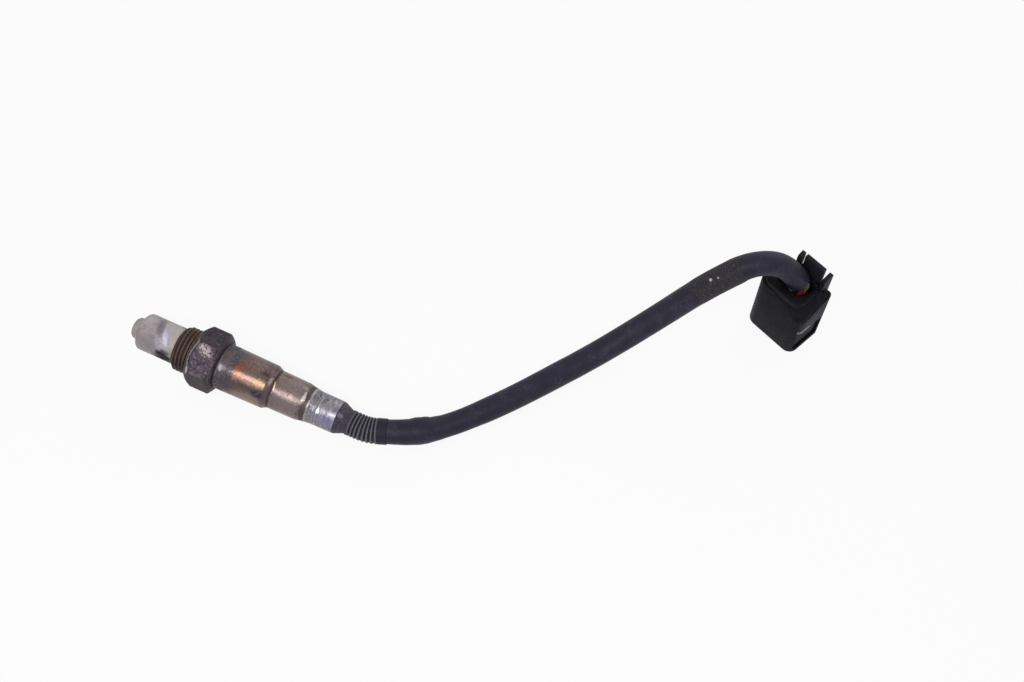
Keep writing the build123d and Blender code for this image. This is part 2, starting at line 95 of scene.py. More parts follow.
# places along the sheath with its radius there, and the stretch that is wrapped over
CABLE_SWELLS = ((0.0, 4.62), (5.0, 4.78), (10.0, 4.95), (13.2, 5.25), (16.2, 5.15), (19.5, 4.70),
                (24.0, 4.42), (32.0, 4.42), (44.0, 4.66), (77.0, 4.86), (110.0, 4.92), (134.0, 4.95),
                (139.0, 5.10), (154.0, 5.10), (158.0, 4.80), (162.0, 4.67), (168.0, 4.66),
                (176.0, 4.50), (200.0, 4.45))
WRAP_ZONE = (138.0, 156.0)

# The cable's route, in metres, from inside the boot to the plug's mouth.
ROUTE = [(0.05019, 0.00178, 0.00500), (0.05957, 0.00492, 0.00500), (0.07086, 0.01260, 0.00470),
         (0.08206, 0.02460, 0.00470), (0.09341, 0.03855, 0.00470), (0.10908, 0.05995, 0.00470),
         (0.11941, 0.07248, 0.00834), (0.13283, 0.08468, 0.02014), (0.14265, 0.09226, 0.03106),
         (0.15064, 0.09762, 0.03840), (0.15666, 0.10130, 0.04366), (0.16430, 0.10529, 0.04400),
         (0.17096, 0.10813, 0.03939), (0.17525, 0.10927, 0.03226)]
BOOT_TAIL = 0.0076                         # straight end of the boot after its bend, in metres
SEAM_TURN = 110.0                          # degrees; the seam of the marks' angle lies opposite


# ---- node expressions
def linear(shade):
    """Linear colour from a shade written in the 0 to 255 steps of a screen."""
    return tuple(((v / 255 + 0.055) / 1.055) ** 2.4 if v > 10 else v / 255 / 12.92 for v in shade)


def dimmed(shade, share):
    """Shade that gives back this share of the light, still in screen steps."""
    return tuple(255 * (1.055 * (v * share) ** (1 / 2.4) - 0.055) for v in linear(shade))


def arithmetic(operation, swapped=False):
    """Method that adds one Math node, for an operator between a Value and another or a number."""
    def method(self, other):
        first, second = (other, self) if swapped else (self, other)
        return self.graph.add("ShaderNodeMath", {"operation": operation}, {0: first, 1: second})
    return method


class Value:
    """An output of a node.  Arithmetic on it adds Math nodes to the same tree."""

    def __init__(self, graph, node, socket):
        self.graph, self.node, self.socket = graph, node, socket

    def output(self, name):
        return Value(self.graph, self.node, self.node.outputs[name])

    def maths(self, operation, *others):
        terms = dict(enumerate((self,) + others))
        return self.graph.add("ShaderNodeMath", {"operation": operation}, terms)

    __add__ = __radd__ = arithmetic("ADD")
    __mul__ = __rmul__ = arithmetic("MULTIPLY")
    __sub__, __rsub__ = arithmetic("SUBTRACT"), arithmetic("SUBTRACT", swapped=True)
    __truediv__, __rtruediv__ = arithmetic("DIVIDE"), arithmetic("DIVIDE", swapped=True)
    __pow__, at_least = arithmetic("POWER"), arithmetic("MAXIMUM")

    def zigzag(self):
        """1 at every whole number, 0 halfway between two."""
        return (self.maths("FRACT") * 2.0 - 1.0).maths("ABSOLUTE")

    def ramp(self, low, high, to_low=0.0, to_high=1.0):
        """Smooth step from to_low at low to to_high at high."""
        settings = {"interpolation_type": "SMOOTHSTEP"}
        if low > high:
            low, high, to_low, to_high = high, low, to_high, to_low
        sockets = {"Value": self, "From Min": low, "From Max": high, "To Min": to_low,
                   "To Max": to_high}
        return self.graph.add("ShaderNodeMapRange", settings, sockets)

    def band(self, low, high, soft):
        """1 between low and high, fading to 0 over soft on both sides."""
        return self.ramp(low - soft, low) * self.ramp(high + soft, high)


class Paint(Value):
    """A colour; each coat goes over the ones before it."""

    def coat(self, amount, shade):
        """Lays a shade over the colour: none of it at 0, nothing but it at 1."""
        mixed = self.graph.mix(amount, self, shade)
        self.node, self.socket = mixed.node, mixed.socket

    def mark(self, label, middle, half, amount, shade, slant=0.0, soft=1.0, ragged=0.0):
        """Coats one patch; label names it in the node tree."""
        self.coat(self.graph.patch(middle, half, slant, soft, ragged) * amount, shade)
        self.node.label = label


class Graph:
    """A node tree that is being written."""

    def __init__(self, tree):
        self.tree = tree

    def add(self, kind, settings=None, sockets=None):
        """Adds a node, sets it up and hands back its first output."""
        node = self.tree.nodes.new(kind)
        for name, setting in (settings or {}).items():
            if name == "stops":
                self.set_stops(node.color_ramp, setting)
            else:
                setattr(node, name, setting)
        for name, value in (sockets or {}).items():
            self.plug_in(value, node.inputs[name])
        shown = [s for s in node.outputs if s.enabled]
        return Value(self, node, shown[0] if shown else None)

    def plug_in(self, value, target):
        """Links a Value to a socket, or sets the socket to a plain number, vector or material."""
        if isinstance(value, Value):
            self.tree.links.new(value.socket, target)
        else:
            target.default_value = value

    @staticmethod
    def set_stops(ramp, stops):
        """Fills a colour ramp from pairs of a place and a shade."""
        while len(ramp.elements) < len(stops):
            ramp.elements.new(1.0)
        for element, (place, shade) in zip(ramp.elements, stops):
            element.position = place
            element.color = (*linear(shade), 1.0)


class Finish(Graph):
    """A procedural material on one Principled shader."""

    def __init__(self, name, specular=0.5, anisotropic=0.0):
        self.material = bpy.data.materials.new(name)
        self.material.use_nodes = True
        super().__init__(self.material.node_tree)
        self.tree.nodes.clear()
        fixed = {"Specular IOR Level": specular, "Anisotropic": anisotropic}
        self.shader = self.add("ShaderNodeBsdfPrincipled", sockets=fixed)
        self.add("ShaderNodeOutputMaterial", sockets={"Surface": self.shader})
        self.objects = self.add("ShaderNodeTexCoord").output("Object")
        self.sheet = None                  # the two Values that patches are laid out by

    def set(self, **sockets):
        names = {"base": "Base Color", "rough": "Roughness", "metal": "Metallic", "normal": "Normal"}
        for name, value in sockets.items():
            self.plug_in(value, self.shader.node.inputs[names[name]])
        return self.material

    def inside(self, place):
        """Coordinates in the mm frame of the sensor or of the plug."""
        turn = place.to_euler()
        return self.add("ShaderNodeMapping", {"vector_type": "TEXTURE"},
                        {"Vector": self.objects, "Location": place.translation, "Rotation": tuple(turn),
                         "Scale": (MM, MM, MM)})

    def split(self, vector):
        parts = self.add("ShaderNodeSeparateXYZ", sockets={0: vector})
        return parts, parts.output("Y"), parts.output("Z")

    def stretched(self, vector, scale):
        return self.add("ShaderNodeMapping", sockets={"Vector": vector, "Scale": scale})

    def noise(self, vector, scale, detail, rough, warp=0.0):
        return self.add("ShaderNodeTexNoise",
                        sockets={"Vector": vector, "Scale": scale, "Detail": detail, "Roughness": rough,
                                 "Distortion": warp})

    def cells(self, vector, scale):
        return self.add("ShaderNodeTexVoronoi", sockets={"Vector": vector, "Scale": scale})

    def mix(self, amount, under, over):
        """Blend of two colours or shades."""
        mixed = self.add("ShaderNodeMix", {"data_type": "RGBA"})
        for name, value in (("Factor", amount), ("A", under), ("B", over)):
            target = [s for s in mixed.node.inputs if s.name == name and s.enabled][0]
            self.plug_in((*linear(value), 1.0) if isinstance(value, tuple) else value, target)
        return Paint(self, mixed.node, [s for s in mixed.node.outputs if s.enabled][0])

    def tones(self, value, *stops):
        ramp = self.add("ShaderNodeValToRGB", {"stops": stops}, {"Fac": value})
        return Paint(self, ramp.node, ramp.socket)

    def bump(self, height, depth_mm, under=None):
        sockets = {"Height": height, "Distance": depth_mm * MM, "Strength": 1.0}
        if under is not None:
            sockets["Normal"] = under
        return self.add("ShaderNodeBump", sockets=sockets)

    def unrolled(self, spot):
        """How far along the sensor in mm, and where round it in degrees.

        The angle is 0 on the +Y side and 90 on top; its seam is underneath, at 290."""
        x, y, z = self.split(spot)
        turn = math.radians(SEAM_TURN)
        ahead = y * math.cos(turn) + z * math.sin(turn)
        aside = z * math.cos(turn) - y * math.sin(turn)
        self.sheet = x, aside.maths("ARCTAN2", ahead).maths("DEGREES") + SEAM_TURN
        return self.sheet

    def patch(self, middle, half, slant=0.0, soft=1.0, ragged=0.0):
        """Mark on the finish's sheet: 1 inside, fading over soft of its size, ragged by a Value."""
        across, around = self.sheet
        off = around - middle[1]
        dx, da = (across - off * slant - middle[0]) / half[0], off / half[1]
        return (dx * dx + da * da + ragged).ramp(1.0 + 0.5 * soft, 1.0 - soft)


# ---- mesh helpers
def publish(obj, node):
    """Hands a finished piece to the frame: its body and the solid it stands for."""
    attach(obj, BODY)
    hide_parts(node)
    return obj


def new_object(name, bm, material, sharp=35.0):
    """Object from a bmesh, smooth but for edges sharper than this many degrees."""
    mesh = bpy.data.meshes.new(name)
    bm.to_mesh(mesh)
    bm.free()
    mesh.shade_smooth()
    mesh.set_sharp_from_angle(angle=math.radians(sharp))
    obj = bpy.data.objects.new(name, mesh)
    bpy.context.scene.collection.objects.link(obj)
    mesh.materials.append(material)
    return obj


def baked(obj):
    """Turns an object's modifiers into plain mesh."""
    graph = bpy.context.evaluated_depsgraph_get()
    mesh = bpy.data.meshes.new_from_object(obj.evaluated_get(graph), depsgraph=graph)
    obj.modifiers.clear()
    old, obj.data = obj.data, mesh
    mesh.name = obj.name
    bpy.data.meshes.remove(old)
    return obj


def eased(points):
    """Rounds the corners of a closed outline of (x, radius) or (x, radius, rounding).

    A point just outside each rounding keeps the shading of the flat parts flat."""
    steps, guard = 4, 0.1
    out = []
    for i, point in enumerate(points):
        a, b, c = (Vector(p[:2]) for p in (points[i - 1], point, points[(i + 1) % len(points)]))
        rounding = point[2] if len(point) > 2 else 0.0
        if not rounding:
            out.append(b)
            continue
        back, on = a - b, c - b
        turn = math.pi - back.angle(on)
        cut = min(rounding * math.tan(turn / 2), 0.45 * back.length, 0.45 * on.length)
        start, end = b + back.normalized() * cut, b + on.normalized() * cut
        if back.length > cut + 3 * guard:
            out.append(start + back.normalized() * guard)
        for k in range(steps + 1):
            t = k / steps
            out.append(start * (1 - t) ** 2 + b * (2 * t * (1 - t)) + end * t * t)
        if on.length > cut + 3 * guard:
            out.append(end + on.normalized() * guard)
    return out


def divided(points, longest):
    """Adds points so that no side of a closed outline is longer than longest says for its middle."""
    out = []
    for a, b in zip(points, points[1:] + points[:1]):
        count = max(1, math.ceil((b - a).length / longest((a + b) / 2)))
        out += [a.lerp(b, k / count) for k in range(count)]
    return out


def joined_rings(rings):
    """Skin over rings of points, with the last ring joined to the first."""
    bm = bmesh.new()
    rows = [[bm.verts.new(p) for p in ring] for ring in rings]
    for low, high in zip(rows, rows[1:] + rows[:1]):
        for k in range(len(low)):
            bm.faces.new((low[k - 1], low[k], high[k], high[k - 1]))
    bmesh.ops.remove_doubles(bm, verts=bm.verts, dist=1e-7)
    bmesh.ops.delete(bm, geom=[e for e in bm.edges if not e.link_faces], context="EDGES")
    bmesh.ops.recalc_face_normals(bm, faces=bm.faces)
    return bm


def turned(name, outline, material, around=144, place=SENSOR):
    """Turned piece from its closed outline, lying along the sensor's axis."""
    angles = [2 * math.pi * k / around for k in range(around)]
    ring = [(math.cos(angle), math.sin(angle)) for angle in angles]
    rings = [[place @ Vector((p.x, p.y * c, p.y * s)) for c, s in ring] for p in outline]
    return new_object(name, joined_rings(rings), material)


def tube(name, centres, radii, material, around=48, distances=None, way_at_end=None):
    """Closed tube through centres, with its own radius at each, both in metres.

    Its points carry how far along it they are in mm, where round it, and their way out."""
    bm = bmesh.new()
    along = bm.verts.layers.float.new("along")
    turn = bm.verts.layers.float_vector.new("round")
    out = bm.verts.layers.float_vector.new("spoke")
    tangents = []
    for i in range(len(centres)):
        way = centres[min(i + 1, len(centres) - 1)] - centres[max(i - 1, 0)]
        past_line = way_at_end is not None and tangents and way.normalized().dot(tangents[-1]) < 0.99
        past_line = past_line or (tangents and way_at_end is not None and tangents[-1] == way_at_end)
        tangents.append(way_at_end if past_line else way.normalized())
    side = tangents[0].cross(Vector((0, 0, 1))).normalized()
    rows, travelled = [], 0.0
    for i, (centre, tangent, radius) in enumerate(zip(centres, tangents, radii)):
        if i:
            travelled += (centre - centres[i - 1]).length
        side = (side - tangent * side.dot(tangent)).normalized()
        up = side.cross(tangent).normalized()
        row = []
        for k in range(around):
            angle = 2 * math.pi * k / around
            spoke = side * math.cos(angle) + up * math.sin(angle)
            vert = bm.verts.new(centre + spoke * radius)
            vert[along] = distances[i] if distances else travelled / MM
            vert[turn] = (math.cos(angle), math.sin(angle), 0.0)
            vert[out] = spoke
            row.append(vert)
        rows.append(row)
    for low, high in zip(rows, rows[1:]):
        for k in range(around):
            bm.faces.new((low[k - 1], low[k], high[k], high[k - 1]))
    bm.faces.new(rows[0])
    bm.faces.new(rows[-1][::-1])
    bmesh.ops.recalc_face_normals(bm, faces=bm.faces)
    return new_object(name, bm, material)


def read_line(curve_data):
    """The points of a curve that has no thickness."""
    obj = bpy.data.objects.new("line", curve_data)
    bpy.context.scene.collection.objects.link(obj)
    graph = bpy.context.evaluated_depsgraph_get()
    mesh = bpy.data.meshes.new_from_object(obj.evaluated_get(graph), depsgraph=graph)
    points = [v.co.copy() for v in mesh.vertices]
    bpy.data.meshes.remove(mesh)
    bpy.data.objects.remove(obj)
    return points


def nurbs_line(points, resolution):
    """Points along the smooth line that the route's points pull into shape."""
    curve = bpy.data.curves.new("route", "CURVE")
    curve.dimensions = "3D"
    curve.resolution_u = resolution
    spline = curve.splines.new("NURBS")
    spline.points.add(len(points) - 1)
    for point, place in zip(spline.points, points):
        point.co = (*place, 1.0)
    spline.order_u = 3
    spline.use_endpoint_u = True
    return read_line(curve)


# ---- the geometry trees
class Shape(Graph):
    """A Geometry Nodes tree that reshapes the mesh it is given; its sizes are its inputs."""

    def __init__(self, name, **sizes):
        tree = bpy.data.node_groups.new(name, "GeometryNodeTree")
        super().__init__(tree)
        tree.interface.new_socket("Mesh", in_out="INPUT", socket_type="NodeSocketGeometry")
        tree.interface.new_socket("Mesh", in_out="OUTPUT", socket_type="NodeSocketGeometry")
        self.keys = {}
        for label in sizes:
            item = tree.interface.new_socket(label, in_out="INPUT", socket_type="NodeSocketFloat")
            self.keys[label] = item.identifier
        self.start = self.add("NodeGroupInput")
        self.end = self.add("NodeGroupOutput")
        self.sizes = sizes

    def size(self, label):
        return self.start.output(label)

    def attribute(self, name, kind="FLOAT"):
        return self.add("GeometryNodeInputNamedAttribute", {"data_type": kind}, {"Name": name})

    def finish(self, geometry, obj):
        """Ends the tree, puts it on obj with its sizes, and makes the result plain mesh."""
        real = self.add("GeometryNodeRealizeInstances", sockets={"Geometry": geometry})
        painted = self.add("GeometryNodeSetMaterial",
                           sockets={"Geometry": real, "Material": obj.data.materials[0]})
        self.plug_in(painted, self.end.node.inputs["Mesh"])
        modifier = obj.modifiers.new(self.tree.name, "NODES")
        modifier.node_group = self.tree
        for label, value in self.sizes.items():
            modifier[self.keys[label]] = value
        return baked(obj)


def cut_thread_and_flats(blank):
    """Cuts the screw thread and the six flats into the turned blank, which lies along +X in mm."""
    shape = Shape("thread_and_flats", Pitch=THREAD_PITCH, Depth=THREAD_DEPTH, Apothem=HEX_AF / 2)
    place = shape.add("GeometryNodeInputPosition")
    x = shape.add("ShaderNodeSeparateXYZ", sockets={0: place})
    y, z = x.output("Y"), x.output("Z")
    radius = (y * y + z * z) ** 0.5
    angle = z.maths("ARCTAN2", y)

    # how deep the groove is here, from how many turns of a right-handed helix lie behind it
    turns = x / shape.size("Pitch") - angle / (2 * math.pi)
    groove = turns.zigzag().ramp(0.16, 0.90)
    threaded = x.ramp(THREAD_FRONT, THREAD_FRONT + 1.2) * x.ramp(SEAT - 0.7, SEAT - 1.1)
    threaded = threaded * radius.ramp(7.5, LEAD_IN_R)
    depth = groove * threaded * shape.size("Depth")

    # six planes blended with the turned surface, so that the edges come out worn round
    sharpness, unit = 56.0, 12.0
    total = (unit / radius) ** sharpness
    for k in range(6):
        facing = (angle - math.radians(60 * k)).maths("COSINE").at_least(0.01)
        total = total + (facing * unit / shape.size("Apothem")) ** sharpness
    flats = total ** (-1.0 / sharpness) * unit
    scale = (flats - depth) / radius
    moved = shape.add("ShaderNodeCombineXYZ", sockets={0: x, 1: y * scale, 2: z * scale})
    bent = shape.add("GeometryNodeSetPosition",
                     sockets={"Geometry": shape.start.output("Mesh"), "Position": moved})
    return shape.finish(bent, blank)


def press_bellows(blank):
    """Raises the ribs of the boot from a plain tube, by the distance along it."""
    shape = Shape("bellows", Pitch=RIB_PITCH, Height=RIB_R - GROOVE_R, First=RIB_FIRST, Last=RIB_LAST)
    along = shape.attribute("along")
    spoke = shape.attribute("spoke", "FLOAT_VECTOR")
    rib = ((along - shape.size("First")) / shape.size("Pitch") + 0.5).zigzag().ramp(0.85, 0.35)
    tail = (along - shape.size("Last")).ramp(0.0, 0.3)
    front = (shape.size("First") - along - shape.size("Pitch") * 0.7).ramp(0.0, 0.3)
    front = front * along.ramp(0.0, 0.7, 0.4, 1.0)
    beyond = (shape.size("First") - along).ramp(1.3, 1.4)
    height = (rib * (1.0 - beyond)).at_least(front).at_least(tail) * shape.size("Height") * MM
    push = shape.add("ShaderNodeVectorMath", {"operation": "SCALE"}, {0: spoke, "Scale": height})
    bent = shape.add("GeometryNodeSetPosition",
                     sockets={"Geometry": shape.start.output("Mesh"), "Offset": push})
    return shape.finish(bent, blank)


# ---- metal of the sensor
def ash_grey_tube():
    """Protection tube: matt steel with a pale exhaust deposit and a soot patch near the thread, painted
    light on the upper side, painted shade below the lit band and a painted highlight.
    """
    f = Finish("ash_grey_tube", specular=0.4)
    spot = f.inside(SENSOR)
    x = f.unrolled(spot)[0]
    cloud = f.noise(spot, 0.24, 5.0, 0.62, 0.4)
    fine = f.noise(spot, 0.85, 6.0, 0.72)
    hair = f.noise(f.stretched(spot, (0.55, 1.0, 1.0)), 0.8, 6.0, 0.72)
    torn = (hair - 0.5) * 6.0
    base = f.tones(cloud * 0.5 + fine * 0.5, (0.36, (136, 126, 130)), (0.5, (161, 152, 154)),
                   (0.62, (180, 172, 171)))
    # painted shade: a darker patch on the near side, below the lit band
    base.mark("shade", (-17.5, 136.0), (5.0, 40.0), 0.55, (132, 121, 127), soft=0.9)
    # painted light: the upper side lighter towards the tip
    base.mark("light", (-18.5, 68.0), (2.6, 26.0), 0.7, (182, 173, 175))
    end = x.ramp(TIP + 4.4, TIP + 1.6)
    base.coat(end * (fine.ramp(0.35, 0.6) * 0.4 + 0.1), (152, 140, 138))
    # painted light: the upper side lighter towards the thread
    base.mark("bright side", (-9.0, 66.0), (4.2, 42.0), 0.75, (184, 176, 176), soft=0.6,
              ragged=torn * 0.25)
    base.mark("halo", (-10.9, 128.0), (2.4, 30.0), 0.7, (182, 174, 187), 0.03, 1.0, torn * 0.3)
    beige = x.ramp(-8.3, -7.0) * f.patch((-6.5, 106.0), (3.0, 34.0), soft=0.6)
    base.coat(beige * 0.8, (180, 169, 160))
    base.mark("olive", (-6.5, 137.0), (1.3, 17.0), 0.8, (160, 160, 146), soft=0.8)
    smudge = f.patch((-13.5, 82.0), (1.5, 44.0), 0.030, 0.9, torn * 0.45)
    spur = f.patch((-14.9, 118.0), (1.7, 9.0), soft=0.9, ragged=torn * 0.4)
    base.coat(smudge.at_least(spur * 0.6) * 0.65, (108, 98, 107))
    gleam = f.patch((-10.1, 106.0), (1.15, 24.0), 0.058, 1.0, torn * 0.25)
    base.coat(gleam, (194, 189, 214))
    speck = f.noise(spot, 1.5, 3.0, 0.5).ramp(0.56, 0.66) * (1.0 - gleam)
    base.coat(speck * 0.4, (120, 108, 110))
    soot = f.patch((-8.9, 172.0), (4.1, 30.0), soft=0.8, ragged=torn * 0.5)
    joint = f.patch((-6.6, 32.0), (1.4, 12.0), soft=0.8, ragged=torn * 0.3)
    base.coat(soot, (24, 19, 27))
    base.coat(joint * 0.7, (60, 55, 60))
    rim = x.ramp(THREAD_FRONT - 0.7, THREAD_FRONT - 0.1) * cloud.ramp(0.45, 0.6)
    base.coat(rim * 0.3, (96, 84, 78))
    rough = fine.ramp(0.3, 0.7, 0.46, 0.64) - gleam * 0.12 + soot * 0.3
    bumps = f.bump(fine * 0.7 + speck * 0.6, 0.05, f.bump(cloud, 0.25))
    return f.set(base=base, rough=rough, metal=(1.0 - soot) * 0.45, normal=bumps)


def rusty_body():
    """Thread, hexagon and collar: steel browned by heat, pitted, with rubbed edges, painted light and
    shade on the faces and painted highlights along edges and crests.
    """
    f = Finish("rusty_body", specular=0.2)
    spot = f.inside(SENSOR)
    x, a = f.unrolled(spot)
    aside, up = f.split(spot)[1:]
    radius = (aside * aside + up * up) ** 0.5
    cloud = f.noise(spot, 0.28, 5.0, 0.6, 0.5)
    fine = f.noise(spot, 1.1, 6.0, 0.70)
    grit = f.noise(spot, 0.85, 6.0, 0.72)
    torn = (grit - 0.5) * 6.0

    # thread and the turned cone in front of the flats
    # painted shade darkens the grooves and painted light brightens the crests; the flecks on the crests
    # are painted highlights
    lit_crest = radius.ramp(8.35, 8.95)
    thread = f.mix(lit_crest, (58, 43, 40), (94, 77, 72))
    thread.coat(cloud.ramp(0.42, 0.60) * 0.5, (84, 62, 56))
    thread.coat(fine.ramp(0.50, 0.66) * lit_crest * 0.5, (122, 104, 98))
    thread.mark("red", (-0.3, 60.0), (2.2, 20.0), 0.6, (82, 44, 42), soft=0.8, ragged=torn * 0.3)
    thread.coat(a.ramp(140.0, 158.0) * 0.5, (40, 32, 30))

    # six faces: 60 is the upper far one, 120 looks up at the front, 180 is the lower front one. Painted
    # shade darkens the upper faces and the lower one, painted light brightens the front one.
    front_face = a.ramp(87.0, 90.5) * a.ramp(152.5, 149.5)
    lower_face = a.ramp(149.5, 152.5)
    mottle = fine * 0.4 + grit * 0.4 + cloud * 0.2
    hexagon = f.tones(mottle, (0.42, (29, 22, 30)), (0.49, (53, 44, 53)),
                      (0.53, (64, 54, 63)), (0.60, (98, 85, 94)))
    hexagon.mark("brown", (4.5, 79.0), (5.5, 13.0), 0.6, (68, 54, 56), soft=0.9, ragged=torn * 0.4)
    # painted shade: a darker copy of the tones for the lower face
    lower = f.tones(mottle, (0.42, (22, 15, 21)), (0.49, (40, 30, 37)),
                    (0.53, (52, 41, 48)), (0.60, (86, 72, 80)))
    hexagon.coat(lower_face, lower)
    # painted light: a lighter copy of the tones for the front face
    front = f.tones(grit * 0.5 + fine * 0.5, (0.41, (38, 29, 43)), (0.46, (70, 59, 71)),
                    (0.52, (89, 77, 89)), (0.60, (132, 118, 127)))
    hexagon.coat(front_face, front)
    rubbed = f.patch((7.2, 98.5), (2.9, 12.0), 0.10, 0.9, torn * 0.5) * fine.ramp(0.42, 0.52)
    rubbed = rubbed * a.ramp(86.5, 88.5)
    hexagon.coat(rubbed, (192, 176, 178))
    hexagon.mark("dark corner", (10.5, 149.0), (2.6, 11.0), 0.6, (52, 42, 48), ragged=torn * 0.3)
    hexagon.mark("low rim", (7.0, 148.0), (3.0, 3.5), 0.35, (132, 118, 126), -0.1, 1.0, torn * 0.6)
    edge = radius.ramp(12.15, 12.5) * fine.ramp(0.40, 0.6)
    hexagon.coat(edge * 0.4, (128, 116, 120))
    pit = f.cells(spot, 1.15).ramp(0.30, 0.12) * cloud.ramp(0.42, 0.56)
    hexagon.coat(pit * 0.6, (34, 28, 32))

    # how far a point of a flat lies behind the edge of the front or the rear cone
    behind = (x - SEAT) * CONE_RISE + SEAT_RIM_R - radius
    ahead = (HEX_LEN - x) * REAR_CONE_RISE + SEAT_RIM_R - radius
    cone = behind.ramp(0.22, 0.04)
    cone_tone = f.mix(fine.ramp(0.4, 0.6), (50, 40, 38), (78, 66, 62))
    rings = (x / 0.8).zigzag().ramp(0.5, 0.9)
    cone_tone.coat(rings * 0.5, (46, 36, 34))
    cone_tone.coat(a.ramp(100.0, 82.0) * 0.6, (32, 24, 24))
    hexagon.coat(cone, cone_tone)
    lit = a.ramp(74.0, 90.0) * a.ramp(158.0, 150.0)
    # painted highlight: light line along the front cone's edge, strongest on the faces toward the light
    cone_edge_highlight = behind.band(0.12, 0.36, 0.14) * fine.ramp(0.34, 0.5)
    hexagon.coat(cone_edge_highlight * (lit * 0.75 + 0.1), (158, 142, 142))
    hexagon.mark("chamfer gleam", (3.2, 146.0), (0.7, 8.0), 0.7, (196, 182, 190), -0.03, 1.0,
                 torn * 0.2)
    # a dark band on the flats just behind the front cone's edge, only on the faces toward the light
    dark_band_behind_cone = behind.band(0.62, 1.05, 0.25) * lit
    hexagon.coat(dark_band_behind_cone * 0.65, (36, 28, 32))
    # painted highlight: light line along the seat rim on the upper side
    seat_rim_highlight = x.band(SEAT - 0.05, SEAT + 0.4, 0.15) * a.ramp(140.0, 110.0)
    hexagon.coat(seat_rim_highlight * fine.ramp(0.3, 0.5) * 0.75, (128, 114, 112))
    rear = ahead.ramp(0.5, 0.1)
    rear_tone = f.mix(fine.ramp(0.4, 0.6), (50, 40, 44), (88, 74, 78))
    hexagon.coat(rear * 0.6, rear_tone)
    # painted highlight: light line along the rear cone's edge, on the side toward the light
    rear_edge_highlight = x.band(11.65, 11.9, 0.15) * f.patch((12.0, 120.0), (3.0, 42.0), soft=0.6)
    hexagon.coat(rear_edge_highlight * fine.ramp(0.36, 0.5) * 0.7, (112, 98, 104))

    collar = f.tones(fine * 0.6 + cloud * 0.4, (0.38, (62, 54, 60)), (0.5, (86, 77, 83)),
                     (0.62, (116, 106, 112)))
    collar.coat(cloud.ramp(0.5, 0.62) * 0.5, (78, 68, 70))
    collar.mark("cool", (16.5, 95.0), (2.2, 36.0), 0.35, (106, 100, 104), soft=0.9, ragged=torn * 0.3)
    # painted highlight: light line on the small ridge next to the hexagon, on the side toward the light
    rings = x.band(13.35, 13.6, 0.15) * f.patch((13.5, 112.0), (3.0, 30.0), soft=0.6)
    collar.coat(rings * 0.5, (132, 122, 128))
    # painted highlight: whitish spot on the collar where the lamp's highlight runs
    bright = f.patch((14.4, 117.0), (0.85, 10.0), 0.02).at_least(
        f.patch((15.4, 114.5), (1.5, 6.0)) * 0.4)
    collar.coat(bright * 0.85, (180, 173, 181))

    base = f.mix(x.ramp(SEAT - 0.45, SEAT - 0.15), thread, hexagon)
    base.coat((x + cloud * 0.8 - 0.4).ramp(12.3, 12.9), collar)
    groove = x.band(SEAT - 0.55, SEAT - 0.1, 0.12) * radius.ramp(9.3, 9.0)
    base.coat(groove * 0.8, (26, 20, 21))
    corner = x.band(12.5, 12.9, 0.3)
    base.coat(corner * 0.6, (42, 34, 37))
    metal = x.ramp(11.5, 13.5, 0.35, 0.75)
    rough = fine.ramp(0.3, 0.7, 0.42, 0.62)
    coarse = f.bump(cloud, 0.30)
    bumps = f.bump(fine + rubbed * 0.3 - pit * 0.9, 0.16, coarse)
    return f.set(base=base, rough=rough, metal=metal, normal=bumps)


